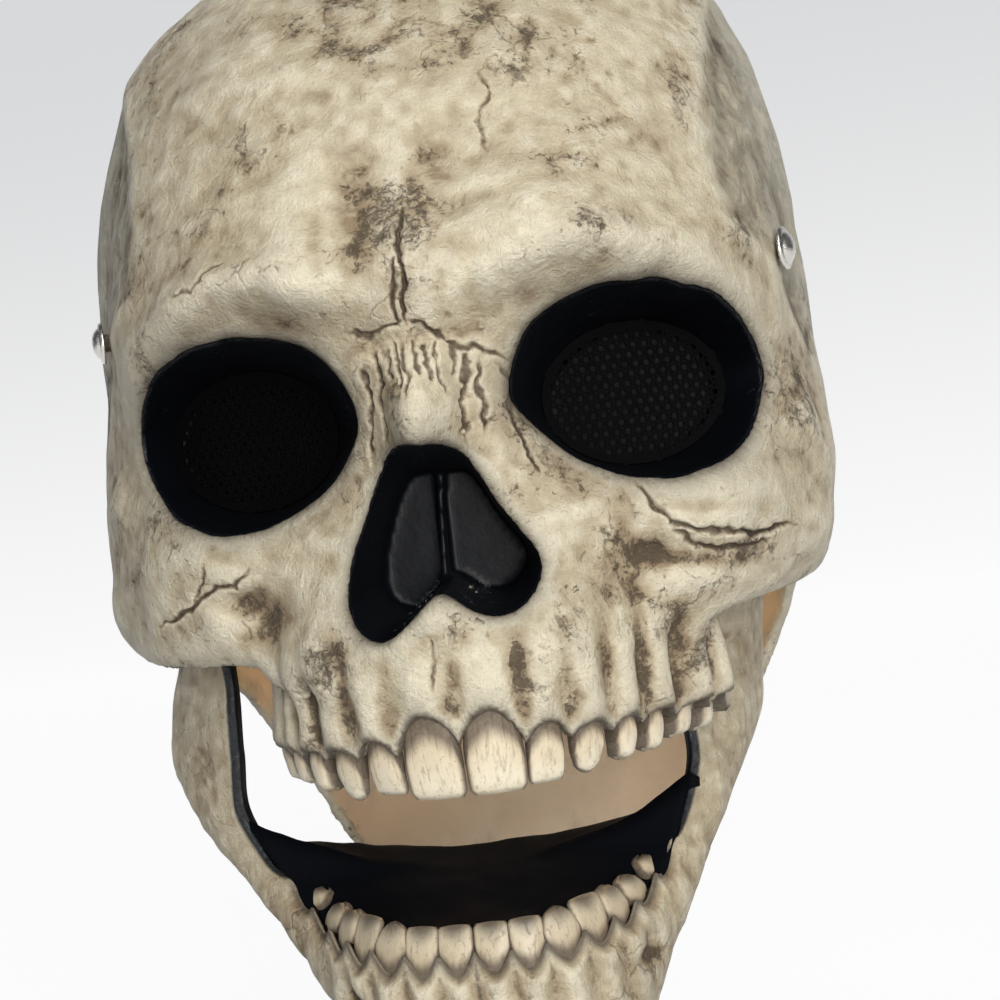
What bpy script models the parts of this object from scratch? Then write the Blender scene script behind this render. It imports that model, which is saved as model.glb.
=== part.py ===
"""Skull mask: a hollow full-head skull shell with two eye meshes, and a jaw hung on two temple rivets.

Metres, +Z up. The face looks along -Y and +X is on the viewer's right. The origin is the inside of
the crown, where the mask sits on the head. Heights and depths are first measured from the root of
the nose, and spot() turns them into that frame.
"""
import math

import bmesh
import bpy
from mathutils import Matrix, Vector

# Overall sizes
SKULL_WIDTH = 0.191        # across the cranium, outside
SKULL_LENGTH = 0.246       # brow to the back of the head, outside
CROWN_RISE = 0.122         # root of the nose up to the top of the crown
FACE_DROP = 0.098          # root of the nose down to the biting edge of the upper teeth
SIDE_DROP = 0.075          # root of the nose down to the rim under the cheekbone and the ear
NAPE_DROP = 0.168          # root of the nose down to the rim of the nape
SEAT_BACK = 0.100          # root of the nose back to the middle of the crown
WALL = 0.003               # moulded wall
MOUTH_TRIM = 0.93          # the same wall, as a share, where the mouth's hollow runs along it
GAP = 0.0003               # between pieces that touch
RELIEF = 0.010             # height of the boldest brow or cheekbone relief

# Eye sockets and their meshes
EYE_SPACING = 0.091        # between the middles of the sockets
EYE_DROP = 0.0165
SOCKET_WIDTH = 0.064
SOCKET_HEIGHT = 0.049
SOCKET_DEPTH = 0.030       # from the mouth of the funnel to the mesh
SOCKET_FLARE = 1.40        # width of the funnel's mouth over its width at the mesh
SOCKET_TURN = math.radians(12)
MESH_BACK = 0.038          # root of the nose back to the mesh
MESH_THICKNESS = 0.001

# Nose
NOSE_WIDTH = 0.0440
NOSE_TOP = 0.026           # root of the nose down to the top of the opening
NOSE_HEIGHT = 0.036
NOSE_DEPTH = 0.020         # how far the pocket goes back
SEPTUM = 0.0024

# Upper jaw and teeth
ARCH_WIDTH = 0.104         # across the upper jaw at its last teeth
ARCH_FRONT = -0.012        # the upper front teeth, from the root of the nose
ARCH_BACK = 0.050
TOOTH_DEPTH = 0.0045
UPPER_CROWN = 0.017        # visible height of an upper front tooth
LOWER_CROWN = 0.0095
TOOTH_ROOT = 0.004         # how far a tooth goes into the gum
LOWER_SPAN = 4.6           # the station where the lower teeth end

# Rivets and the jaw's hinge
HINGE_BACK = 0.0476
HINGE_RISE = 0.0135
RIVET_TURN = math.radians(22)
RIVET_CAP = 0.0105
RIVET_DOME = 0.0032
RIVET_SHANK = 0.0045
CAP_LIFT = 0.0008          # lets the flat underside of the cap clear the curve of the temple
RIVET_INNER_HEAD = 0.009
RIVET_PLATE = 0.0015
ARM_END = 0.0095           # radius of the arm's round end
ARM_PLAY = 0.0018          # between the shell's wall and the arm inside it
SHANK_PLAY = 0.0008        # around the shank in both holes

# Jaw
JAW_DROP = 0.187           # root of the nose down to the underside of the chin
JAW_WIDTH = 0.164          # across the arms, outside
RIM_LEAN = 0.005           # how far the rim under the cheekbones hangs to the viewer's left
JAW_LEAN = 0.009           # how far the jaw hangs to the viewer's left
SHELF_DEPTH = 0.052        # black floor behind the lower teeth, front to rear
SHELF_WALL = 0.0025
SHELF_FRONT = 0.755        # its front and how far its rear edge rises, shares of the jaw drop
SHELF_RISE = 0.080

LOOP_POINTS = 40
SKULL_ROWS = 26
JAW_ROWS_HALF = 15
JAW_POINTS = 5

# Plan sections of the skull. Height is a share of the crown rise above the root of the nose, or of
# the nape drop below it. Width is a share of half the skull width, front and back of its length
SECTIONS = (
    # height, width, front, back
    (0.985, 0.290, 0.330, 0.550),
    (0.940, 0.465, 0.270, 0.650),
    (0.860, 0.650, 0.205, 0.740),
    (0.740, 0.820, 0.140, 0.815),
    (0.600, 0.905, 0.084, 0.880),
    (0.440, 0.955, 0.036, 0.930),
    (0.290, 0.978, 0.004, 0.962),
    (0.170, 0.990, -0.012, 0.976),
    (0.070, 0.995, -0.012, 0.980),
    (-0.020, 0.992, -0.008, 0.978),
    (-0.080, 0.985, -0.002, 0.972),
    (-0.140, 0.978, 0.002, 0.964),
    (-0.200, 0.970, 0.000, 0.954),
    (-0.260, 0.962, -0.006, 0.942),
    (-0.320, 0.954, -0.014, 0.926),
    (-0.380, 0.955, -0.020, 0.908),
    (-0.450, 0.950, -0.028, 0.880),
    (-0.600, 0.890, -0.034, 0.830),
    (-0.780, 0.790, -0.034, 0.790),
    (-1.000, 0.730, -0.034, 0.768),
)
PLAN_POWER = 2.25
PLAN_MIDDLE = 0.431        # share of the length where the plan is widest

# Relief of the face: place and spread across are shares of half the skull width, up and down they
# are shares of the face drop, and lift is a share of RELIEF
FEATURES = (
    # across, up, spread_across, spread_up, lift
    (0.42, 0.14, 0.24, 0.14, 0.62),      # brow ridge
    (0.74, 0.04, 0.12, 0.18, 0.40),      # outer corner of the brow
    (0.00, 0.15, 0.15, 0.14, 0.50),      # between the brows
    (0.00, -0.16, 0.095, 0.15, 1.20),    # nasal bones
    (0.00, -0.24, 0.075, 0.06, 0.40),    # their tip
    (0.34, -0.15, 0.16, 0.24, -1.00),    # beside the nose, at the socket
    (0.73, -0.46, 0.16, 0.17, 0.60),     # cheekbone
    (0.42, -0.58, 0.15, 0.13, -0.55),    # hollow under the socket
    (0.54, -0.80, 0.20, 0.14, -1.30),    # under the cheekbone, beside the teeth
    (0.00, -0.62, 0.13, 0.08, 0.40),     # spine under the nose
)
# The same on the sides, with place and spread in shares of the skull's length
SIDES = (
    # along, up, spread_along, spread_up, lift
    (0.30, 0.26, 0.10, 0.24, -0.25),     # temple
    (0.22, -0.36, 0.13, 0.30, 0.80),     # arch of the cheekbone
)

# Upper jaw, from its top to the biting edge: height is a share of the face drop, width of half the
# arch, and front is a share of the arch's depth
JAW_ROWS = (
    # height, width, front
    (-0.46, 0.86, 0.16),
    (-0.60, 0.92, 0.07),
    (-0.74, 0.96, 0.02),
    (-0.86, 0.99, 0.00),
)

# Outline of the nose opening: height down from its top and half width, shares of its own sizes
NOSE_OUTLINE = (
    (0.00, 0.30), (0.10, 0.46), (0.28, 0.62), (0.50, 0.82), (0.70, 0.98), (0.84, 1.00),
    (0.95, 0.82), (1.00, 0.52), (0.95, 0.22), (0.88, 0.00),
)

# Widths of the teeth from the middle outwards, in shares of the length of half the arch
UPPER_TEETH = (0.196, 0.142, 0.146, 0.122, 0.120, 0.142, 0.126)
LOWER_TEETH = (0.125, 0.125, 0.150, 0.145, 0.145, 0.160, 0.145)

# Stations of one half of the jaw, from the chin to the top of the arm. Across is a share of half
# the jaw's width there, back of the hinge's depth behind the root of the nose, down of the jaw drop
STATIONS = (
    # lower or rear border: across, back, down; upper or front border: across, back, down; bulge
    (0.000, 0.13, 1.000, 0.000, 0.11, 0.745, 0.90),
    (0.150, 0.15, 1.000, 0.160, 0.13, 0.745, 0.80),
    (0.275, 0.28, 0.970, 0.300, 0.25, 0.742, 0.50),
    (0.380, 0.52, 0.905, 0.420, 0.46, 0.735, 0.35),
    (0.495, 0.84, 0.820, 0.520, 0.76, 0.712, 0.35),
    (0.640, 1.16, 0.732, 0.620, 0.98, 0.655, 0.40),
    (0.810, 1.48, 0.640, 0.700, 1.03, 0.580, 0.55),
    (0.955, 1.80, 0.545, 0.740, 1.00, 0.505, 0.80),
    (0.970, 1.96, 0.430, 0.770, 0.99, 0.415, 0.80),
    (0.975, 1.94, 0.290, 0.860, 1.08, 0.290, 0.60),
    (0.990, 1.78, 0.150, 0.950, 1.18, 0.150, 0.35),
    (1.015, 1.45, 0.035, 0.975, 1.14, 0.035, 0.15),
    (1.000, 1.20, -0.040, 0.955, 0.92, -0.040, 0.00),
)
BULGE = 0.004
SIDE_WORDS = (("left", -1), ("right", 1))


def spot(x, back, up):
    """A place given from the root of the nose, in the mask's frame."""
    return Vector((x, back - SEAT_BACK, up - (CROWN_RISE - WALL)))


def clear_scene():
    for item in list(bpy.data.objects):
        bpy.data.objects.remove(item, do_unlink=True)


def new_collection(name, hidden=False):
    group = bpy.data.collections.new(name)
    bpy.context.scene.collection.children.link(group)
    group.hide_render = hidden
    return group


def material(name, colour, roughness, metallic=0.0):
    made = bpy.data.materials.new(name)
    made.use_nodes = True
    shader = made.node_tree.nodes["Principled BSDF"]
    shader.inputs["Base Color"].default_value = (*colour, 1.0)
    shader.inputs["Roughness"].default_value = roughness
    shader.inputs["Metallic"].default_value = metallic
    return made


def add_object(name, shape, group, finish=None):
    mesh = bpy.data.meshes.new(name)
    shape.to_mesh(mesh)
    shape.free()
    made = bpy.data.objects.new(name, mesh)
    group.objects.link(made)
    if finish is not None:
        mesh.materials.append(finish)
    if group.hide_render:
        made.hide_render = True
        made.display_type = "WIRE"
    return made


def combine(target, other, operation):
    """Join, cut or keep the common part, as a Boolean modifier on the target."""
    step = target.modifiers.new(other.name, "BOOLEAN")
    step.operation = operation
    step.solver = "EXACT"
    step.object = other


def loft(loops, closed_ends=True):
    """A skin over loops with equal numbers of points, with fans over both ends."""
    shape = bmesh.new()
    rings = [[shape.verts.new(point) for point in loop] for loop in loops]
    count = len(rings[0])
    for upper, lower in zip(rings, rings[1:]):
        for i in range(count):
            j = (i + 1) % count
            shape.faces.new((upper[i], upper[j], lower[j], lower[i]))
    if closed_ends:
        for ring in (rings[0], rings[-1]):
            centre = sum((vert.co for vert in ring), Vector()) / count
            hub = shape.verts.new(centre)
            for i in range(count):
                shape.faces.new((ring[i], ring[(i + 1) % count], hub))
    bmesh.ops.recalc_face_normals(shape, faces=shape.faces)
    return shape


def sheet(rows):
    """An open skin over rows of points."""
    shape = bmesh.new()
    grid = [[shape.verts.new(point) for point in row] for row in rows]
    for first, second in zip(grid, grid[1:]):
        for i in range(len(first) - 1):
            shape.faces.new((first[i], first[i + 1], second[i + 1], second[i]))
    return shape


def through(table, count):
    """Rows read off a smooth curve through the rows of a table."""
    rows = []
    spans = len(table) - 1
    for k in range(count):
        place = spans * k / (count - 1)
        i = min(int(place), spans - 1)
        t = place - i
        near = [table[max(0, min(spans, i + step))] for step in (-1, 0, 1, 2)]
        row = []
        for a, b, c, d in zip(*near):
            bend = (2 * a - 5 * b + 4 * c - d) * t ** 2 + (3 * b - a - 3 * c + d) * t ** 3
            row.append(0.5 * (2 * b + (c - a) * t + bend))
        rows.append(row)
    return rows


def hump(value, middle, spread):
    return math.exp(-((value - middle) / spread) ** 2)


def face_relief(x, up):
    """How far the face stands forward of the plain loft."""
    across = abs(x) / (SKULL_WIDTH / 2)
    height = up / FACE_DROP
    lift = 0.0
    for place, level, spread, spread_up, amount in FEATURES:
        lift += amount * hump(across, place, spread) * hump(height, level, spread_up)
    return RELIEF * lift


def side_relief(back, up):
    """How far the side stands out from the plain loft."""
    lift = 0.0
    for place, level, spread, spread_up, amount in SIDES:
        lift += amount * hump(back / SKULL_LENGTH, place, spread) * hump(up / FACE_DROP, level, spread_up)
    return RELIEF * lift


def row_height(share):
    return share * (CROWN_RISE if share > 0 else NAPE_DROP)


def skull_loop(row, inset, extra_down=0.0):
    """One plan section. Points crowd towards the face."""
    share, width, front, back = row
    up = row_height(share) - extra_down
    half = width * SKULL_WIDTH / 2 - inset
    middle = PLAN_MIDDLE * SKULL_LENGTH
    lean = RIM_LEAN * min(1.0, max(0.0, -up) / SIDE_DROP) ** 2
    loop = []
    for i in range(LOOP_POINTS):
        u = i / LOOP_POINTS
        turn = 2 * math.pi * u - 0.60 * math.sin(2 * math.pi * u)
        side, ahead = math.sin(turn), math.cos(turn)
        x = half * math.copysign(abs(side) ** (2 / PLAN_POWER), side)
        reach = middle - front * SKULL_LENGTH if ahead > 0 else back * SKULL_LENGTH - middle
        y = middle - (reach - inset) * math.copysign(abs(ahead) ** (2 / PLAN_POWER), ahead)
        facing = max(0.0, ahead) ** 0.5
        y -= face_relief(x, up) * facing
        x += math.copysign(side_relief(y, up), x) * abs(side)
        loop.append(spot(x - lean, y, up))
    return loop


def skull_solid(name, group, inset=0.0, extra_down=0.0):
    rows = through(SECTIONS, SKULL_ROWS)
    top = CROWN_RISE - inset
    squash = top / CROWN_RISE
    loops = []
    for k, row in enumerate(rows):
        share = row[0] * squash if row[0] > 0 else row[0]
        last = extra_down if k == SKULL_ROWS - 1 else 0.0
        loops.append(skull_loop((share, *row[1:]), inset, last))
    shape = loft(loops)
    shape.verts.ensure_lookup_table()
    pole = shape.verts[LOOP_POINTS * SKULL_ROWS]
    pole.co = spot(0.0, PLAN_MIDDLE * SKULL_LENGTH, top)
    return add_object(name, shape, group)


def arch_point(share, width, front):
    """A place on the half arch of the upper jaw, from the middle (0) to the last tooth (1)."""
    turn = share * math.pi / 2
    return width * math.sin(turn), ARCH_BACK - (ARCH_BACK - front) * math.cos(turn)


def upper_jaw_solid(name, group, inset=0.0, raise_top=0.0, extra_down=0.0):
    """The horseshoe that carries the upper teeth. It reaches back into the hollow of the skull."""
    loops = []
    rows = through(JAW_ROWS, 6)
    for k, (share, width, front) in enumerate(rows):
        up = share * FACE_DROP - (extra_down if k == len(rows) - 1 else 0.0)
        half = width * ARCH_WIDTH / 2 - inset
        ahead = ARCH_FRONT + front * (ARCH_BACK - ARCH_FRONT) + inset
        side = [arch_point(i / 10, half, ahead) for i in range(11)]
        side.append((half, ARCH_BACK + 2 * inset))
        if k == 0:
            up += raise_top
        loops.append([spot(x, y, up) for x, y in side] + [spot(-x, y, up) for x, y in side[:0:-1]])
    return add_object(name, loft(loops), group)


def septum_solid(name, group):
    """The thin wall left standing in the nose pocket. It starts behind the lower spine."""
    outline = ((0.45, -0.10), (1.20, -0.10), (1.20, 1.20), (0.10, 1.20), (0.10, 0.70))
    places = [(back * NOSE_DEPTH, -NOSE_TOP - down * NOSE_HEIGHT) for back, down in outline]
    loops = [[spot(x, back, up) for back, up in places] for x in (-SEPTUM / 2, SEPTUM / 2)]
    return add_object(name, loft(loops), group)


def side_profile(group):
    """Cuts the sides of the skull away below the ear, down to the flap over the nape."""
    outline = (
        (ARCH_FRONT * 3, SIDE_DROP), (SKULL_LENGTH * 0.30, SIDE_DROP),
        (SKULL_LENGTH * 0.50, SIDE_DROP * 1.10),
        (SKULL_LENGTH * 0.60, SIDE_DROP * 1.45), (SKULL_LENGTH * 0.645, NAPE_DROP * 0.90),
        (SKULL_LENGTH * 0.67, NAPE_DROP * 1.10), (ARCH_FRONT * 3, NAPE_DROP * 1.10),
    )
    loops = [[spot(x, back, -down) for back, down in outline] for x in (-SKULL_WIDTH, SKULL_WIDTH)]
    return add_object("side_cut", loft(loops), group)


def funnel(name, side, grow, reach_front, reach_back, group):
    """A socket funnel about its mesh, from in front of the face to behind the mesh."""
    shape = bmesh.new()
    narrow = 1.0 / SOCKET_FLARE
    slope = (1.0 - narrow) / SOCKET_DEPTH
    front = 1.0 + slope * (reach_front - SOCKET_DEPTH)
    back = narrow - slope * reach_back
    bmesh.ops.create_cone(shape, cap_ends=True, segments=32, radius1=back, radius2=front,
                          depth=reach_front + reach_back)
    bmesh.ops.translate(shape, vec=(0, 0, (reach_front - reach_back) / 2), verts=shape.verts)
    scale = Matrix.Diagonal((SOCKET_WIDTH / 2 + grow, SOCKET_HEIGHT / 2 + grow, 1.0, 1.0))
    place = Matrix.Translation(eye_place(side)) @ eye_turn(side)
    bmesh.ops.transform(shape, matrix=place @ scale, verts=shape.verts)
    return add_object(name, shape, group)


def eye_place(side):
    return spot(side * EYE_SPACING / 2, MESH_BACK, -EYE_DROP)


def eye_turn(side):
    """Turns +Z to look out of the socket, a little to its own side."""
    return Matrix.Rotation(side * SOCKET_TURN, 4, "Z") @ Matrix.Rotation(math.pi / 2, 4, "X")


def eye_mesh(name, side, group, finish):
    """The flat mesh that closes a socket. Its rim stands the usual gap inside the funnel."""
    slope = (1.0 - 1.0 / SOCKET_FLARE) / SOCKET_DEPTH
    share = 1.0 / SOCKET_FLARE - slope * MESH_THICKNESS
    shape = bmesh.new()
    bmesh.ops.create_cone(shape, cap_ends=True, segments=40, radius1=1.0, radius2=1.0, depth=MESH_THICKNESS)
    bmesh.ops.translate(shape, vec=(0, 0, -MESH_THICKNESS / 2), verts=shape.verts)
    half_width, half_height = share * SOCKET_WIDTH / 2 - GAP, share * SOCKET_HEIGHT / 2 - GAP
    facet = math.cos(math.pi / 32)
    scale = Matrix.Diagonal((half_width * facet, half_height * facet, 1.0, 1.0))
    place = Matrix.Translation(eye_place(side)) @ eye_turn(side)
    bmesh.ops.transform(shape, matrix=place @ scale, verts=shape.verts)
    return add_object(name, shape, group, finish)


def nose_solid(name, grow, back, group):
    """The heart-shaped nose opening, drawn from in front of the face to its depth."""
    half = [((width * NOSE_WIDTH / 2 + grow) if width else 0.0,
             -NOSE_TOP - down * NOSE_HEIGHT + grow * (1 - 2 * down)) for down, width in NOSE_OUTLINE]
    ring = half + [(-x, up) for x, up in half[-2::-1]]
    ends = ((-SKULL_LENGTH / 6, 1.0), (back, 0.8))
    loops = [[spot(x * taper, y, up) for x, up in ring] for y, taper in ends]
    return add_object(name, loft(loops), group)


def add_tooth(shape, foot, tip, along, width):
    """One tooth from its foot in the gum to its tip, narrower at the gum and thin at the edge."""
    inward = Vector((0, 0, 1)).cross(along).normalized()
    made = bmesh.ops.create_cube(shape, size=1.0)["verts"]
    for vert in made:
        share, back = vert.co.z + 0.5, vert.co.y + 0.5
        wide = width * (0.74 + 0.26 * share) * (1.0 - 0.22 * back)
        deep = TOOTH_DEPTH * (back - share * 0.45 * (back - 0.5))
        vert.co = foot.lerp(tip, share) + along * (vert.co.x * wide) + inward * deep
    if along.cross(inward).dot(tip - foot) < 0:
        bmesh.ops.reverse_faces(shape, faces=list({face for vert in made for face in vert.link_faces}))
    edges = list({edge for vert in made for edge in vert.link_edges})
    bmesh.ops.bevel(shape, geom=edges, offset=TOOTH_DEPTH * 0.2, segments=1, affect="EDGES",
                    clamp_overlap=True)


def tooth_row(name, shares, route, crown, group):
    """Teeth on both sides of the middle. The route gives a place on the gum and the tooth's way."""
    shape = bmesh.new()
    for side in (-1, 1):
        done = 0.0
        for k, share in enumerate(shares):
            (start, _), (middle, rise), (end, _) = (route(done + share * t, side) for t in (0.0, 0.5, 1.0))
            done += share
            along = (end - start).normalized() * side
            tip = middle + rise * (crown * (1.0 - 0.06 * k))
            add_tooth(shape, middle - rise * TOOTH_ROOT, tip, along, (end - start).length - GAP)
    return add_object(name, shape, group)


def upper_route(share, side):
    """The gum line of the upper jaw."""
    x, back = arch_point(share * 0.90, ARCH_WIDTH / 2 - GAP, ARCH_FRONT + GAP)
    return spot(side * x, back, UPPER_CROWN - FACE_DROP), Vector((0, 0, -1))


def skull_half(back, up):
    """Half the outside width of the skull at a depth and height."""
    share, width, front, rear = SECTIONS[-1]
    for upper, lower in zip(SECTIONS, SECTIONS[1:]):
        high, low = row_height(upper[0]), row_height(lower[0])
        if low <= up <= high:
            t = (high - up) / (high - low)
            share, width, front, rear = (a + (b - a) * t for a, b in zip(upper, lower))
    middle = PLAN_MIDDLE * SKULL_LENGTH
    reach = middle - front * SKULL_LENGTH if back < middle else rear * SKULL_LENGTH - middle
    plan = (1.0 - (abs(middle - back) / reach) ** PLAN_POWER) ** (1 / PLAN_POWER)
    return width * SKULL_WIDTH / 2 * plan + side_relief(back, up)


def hinge_place(side):
    """Where the hinge axis meets the outside of the skull's wall."""
    return spot(side * skull_half(HINGE_BACK, HINGE_RISE), HINGE_BACK, HINGE_RISE)


def hinge_turn(side):
    """Turns +Z to point out of the temple."""
    return Matrix.Rotation(-side * RIVET_TURN, 4, "Z") @ Matrix.Rotation(side * math.pi / 2, 4, "Y")


def hinge_disc(name, side, radius, low, high, group, segments=24):
    """A round slug about the rivet's axis, between two depths measured out of the temple."""
    shape = bmesh.new()
    bmesh.ops.create_cone(shape, cap_ends=True, segments=segments, radius1=radius, radius2=radius,
                          depth=high - low)
    bmesh.ops.translate(shape, vec=(0, 0, (low + high) / 2), verts=shape.verts)
    place = Matrix.Translation(hinge_place(side)) @ hinge_turn(side)
    bmesh.ops.transform(shape, matrix=place, verts=shape.verts)
    return add_object(name, shape, group)


def rivet(name, side, group, finish):
    """A domed rivet: cap outside the temple, shank through both walls, flat head inside."""
    seat = GAP + CAP_LIFT
    grip = WALL + ARM_PLAY + WALL + 2 * GAP
    cap, shank, head = RIVET_CAP / 2, RIVET_SHANK / 2, RIVET_INNER_HEAD / 2
    arc = [k * math.pi / 10 for k in range(6)]
    outline = [(cap * math.sin(turn), seat + RIVET_DOME * math.cos(turn)) for turn in arc]
    outline += [(cap, seat), (shank, seat), (shank, -grip), (head, -grip)]
    outline += [(head, -grip - RIVET_PLATE), (0.0, -grip - RIVET_PLATE)]
    points = outline[:1]
    points += [b for a, b in zip(outline, outline[1:]) if (Vector(a) - Vector(b)).length > 1e-7]
    shape = bmesh.new()
    verts = [shape.verts.new((radius, 0.0, height)) for radius, height in points]
    for first, second in zip(verts, verts[1:]):
        shape.edges.new((first, second))
    made = add_object(name, shape, group, finish)
    turn = made.modifiers.new("turned", "SCREW")
    turn.steps = turn.render_steps = 18
    turn.use_merge_vertices = True
    turn.merge_threshold = 0.00001
    made.matrix_world = Matrix.Translation(hinge_place(side)) @ hinge_turn(side)
    return made


def jaw_point(across, back, down):
    """A place on the jaw. It hangs a little to the viewer's left, and the arms close in on the hinge."""
    fall = min(1.0, max(0.0, (down - 0.22) / 0.30))
    lean = JAW_LEAN * fall * fall * (3.0 - 2.0 * fall)
    near_hinge = min(1.0, max(0.0, 1.0 - down / 0.45))
    arm_half = hinge_place(1).x - WALL - ARM_PLAY
    half = JAW_WIDTH / 2 + (arm_half - JAW_WIDTH / 2) * near_hinge
    return spot(across * half - lean, back * HINGE_BACK, -down * JAW_DROP)


def jaw_sheet(name, group, finish):
    """The jaw's outer skin, thickened inwards. Each station runs from border to border."""
    rows = []
    stations = through(STATIONS, JAW_ROWS_HALF)
    mirrored = [(-r[0], *r[1:3], -r[3], *r[4:]) for r in stations[:0:-1]]
    for row in mirrored + [list(station) for station in stations]:
        low, high, bulge = row[0:3], row[3:6], row[6]
        line = []
        for i in range(JAW_POINTS):
            t = i / (JAW_POINTS - 1)
            place = jaw_point(*(a + (b - a) * t for a, b in zip(low, high)))
            side = Vector((place.x, place.y - spot(0, HINGE_BACK * 1.2, 0).y, 0)).normalized()
            line.append(place + side * (BULGE * bulge * math.sin(math.pi * t)))
        rows.append(line)
    shape = sheet(rows)
    axis = spot(0.0, HINGE_BACK, HINGE_RISE)
    bmesh.ops.translate(shape, vec=-axis, verts=shape.verts)
    made = add_object(name, shape, group, finish)
    made.location = axis
    wall = made.modifiers.new("wall", "SOLIDIFY")
    wall.thickness = WALL
    wall.offset = -1.0
    wall.use_even_offset = False
    return made


def lower_route(share, side):
    """The gum line of the lower jaw, along the upper border of the first stations."""
    i = min(int(share * LOWER_SPAN), len(STATIONS) - 2)
    t = share * LOWER_SPAN - i
    across, back, down = (a + (b - a) * t for a, b in zip(STATIONS[i][3:6], STATIONS[i + 1][3:6]))
    return jaw_point(side * across, back, down) + Vector((0, GAP, 0)), Vector((0, 0, 1))


def shelf_edge(back):
    """The place in the jaw's wall where the floor meets it, level with a depth. It's a share row."""
    edge = [station[3:6] for station in STATIONS[:7]] + [STATIONS[6][0:3]]
    for near, far in zip(edge, edge[1:]):
        if back <= far[1]:
            t = (back - near[1]) / (far[1] - near[1])
            return near[0] + (far[0] - near[0]) * t, near[2] + (far[2] - near[2]) * t
    return edge[-1][0], edge[-1][2]


def shelf_solid(name, group):
    """The floor behind the lower teeth. It rises towards the arms and ends in a free edge."""
    rows = []
    for k in range(7):
        back = STATIONS[0][4] + (0.002 + SHELF_DEPTH * k / 6) / HINGE_BACK
        across, level = shelf_edge(back)
        across -= WALL / JAW_WIDTH
        middle = SHELF_FRONT - SHELF_RISE * k / 6
        rows.append([jaw_point(across * s / 6, back, middle + (level + 0.02 - middle) * (s / 6) ** 2)
                     for s in range(-6, 7)])
    made = add_object(name, sheet(rows), group)
    wall = made.modifiers.new("wall", "SOLIDIFY")
    wall.thickness = SHELF_WALL
    wall.offset = 0.0
    return made


def build():
    clear_scene()
    parts = new_collection("skull_mask")
    tools = new_collection("cutters", hidden=True)
    bone = material("aged_bone", (0.62, 0.56, 0.44), 0.55)
    jaw_bone = material("aged_bone_jaw", (0.58, 0.53, 0.42), 0.55)
    black_mesh = material("black_mesh", (0.01, 0.01, 0.012), 0.4)
    bright_metal = material("bright_metal", (0.75, 0.74, 0.72), 0.25, 1.0)

    hollow = skull_solid("hollow", tools, WALL, 0.02)
    mouth = upper_jaw_solid("hollow_jaw", tools, TOOTH_DEPTH, 0.006, 0.03)
    for space, wall in ((hollow, WALL), (mouth, WALL * MOUTH_TRIM)):
        combine(space, nose_solid(space.name + "_nose", wall, NOSE_DEPTH + wall, tools), "DIFFERENCE")
        for word, side in SIDE_WORDS:
            cup = funnel(space.name + "_socket_" + word, side, wall, 0.06, 0.005, tools)
            combine(space, cup, "DIFFERENCE")

    skull = skull_solid("skull_shell", parts)
    skull.data.materials.append(bone)
    combine(skull, side_profile(tools), "DIFFERENCE")
    combine(skull, hollow, "DIFFERENCE")
    combine(skull, upper_jaw_solid("upper_jaw", tools), "UNION")
    combine(skull, tooth_row("upper_teeth", UPPER_TEETH, upper_route, UPPER_CROWN, tools), "UNION")
    combine(skull, mouth, "DIFFERENCE")
    pocket = nose_solid("nose_hole", 0.0, NOSE_DEPTH, tools)
    combine(pocket, septum_solid("septum", tools), "DIFFERENCE")
    combine(skull, pocket, "DIFFERENCE")
    for word, side in SIDE_WORDS:
        combine(skull, funnel("socket_" + word, side, 0.0, 0.07, 0.010, tools), "DIFFERENCE")
        hole = RIVET_SHANK / 2 + SHANK_PLAY
        combine(skull, hinge_disc("temple_hole_" + word, side, hole, -0.010, 0.010, tools), "DIFFERENCE")

    jaw = jaw_sheet("jaw_shell", parts, jaw_bone)
    combine(jaw, shelf_solid("shelf", tools), "UNION")
    combine(jaw, tooth_row("lower_teeth", LOWER_TEETH, lower_route, LOWER_CROWN, tools), "UNION")
    arm_face = -WALL - ARM_PLAY
    for word, side in SIDE_WORDS:
        combine(jaw, hinge_disc("arm_end_" + word, side, ARM_END, arm_face - WALL, arm_face, tools), "UNION")
        hole = RIVET_SHANK / 2 + SHANK_PLAY
        combine(jaw, hinge_disc("arm_hole_" + word, side, hole, arm_face - 0.02, 0.01, tools), "DIFFERENCE")

    for word, side in SIDE_WORDS:
        eye_mesh("eye_mesh_" + word, side, parts, black_mesh)
        rivet("rivet_" + word, side, parts, bright_metal)


build()
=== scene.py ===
# %% [markdown]
# A latex skull mask, told as a lesson in Blender. The mask has two mouldings: a hollow skull and
# a jaw that hangs from two rivets at the temples. Both were cast in one go with their teeth and
# then painted by hand as old bone. The measured frame comes first, and every piece is built
# around it in the frame's own metres.

# %% Load the measured frame
import math

import bmesh
import bpy
import numpy as np
from mathutils import Matrix, Vector


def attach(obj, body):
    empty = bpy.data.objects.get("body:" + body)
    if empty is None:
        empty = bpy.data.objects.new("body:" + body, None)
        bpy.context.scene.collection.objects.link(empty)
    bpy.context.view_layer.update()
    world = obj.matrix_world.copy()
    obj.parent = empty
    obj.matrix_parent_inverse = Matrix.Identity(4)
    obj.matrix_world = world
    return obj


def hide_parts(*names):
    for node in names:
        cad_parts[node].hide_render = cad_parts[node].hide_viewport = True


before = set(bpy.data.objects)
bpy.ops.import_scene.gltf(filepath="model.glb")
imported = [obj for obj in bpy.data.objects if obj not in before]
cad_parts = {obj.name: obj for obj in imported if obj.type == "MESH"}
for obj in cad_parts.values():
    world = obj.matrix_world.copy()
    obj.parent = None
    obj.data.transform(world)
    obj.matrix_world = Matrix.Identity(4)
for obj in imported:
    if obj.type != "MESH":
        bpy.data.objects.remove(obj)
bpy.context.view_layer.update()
print("nodes", sorted(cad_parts))

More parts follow.
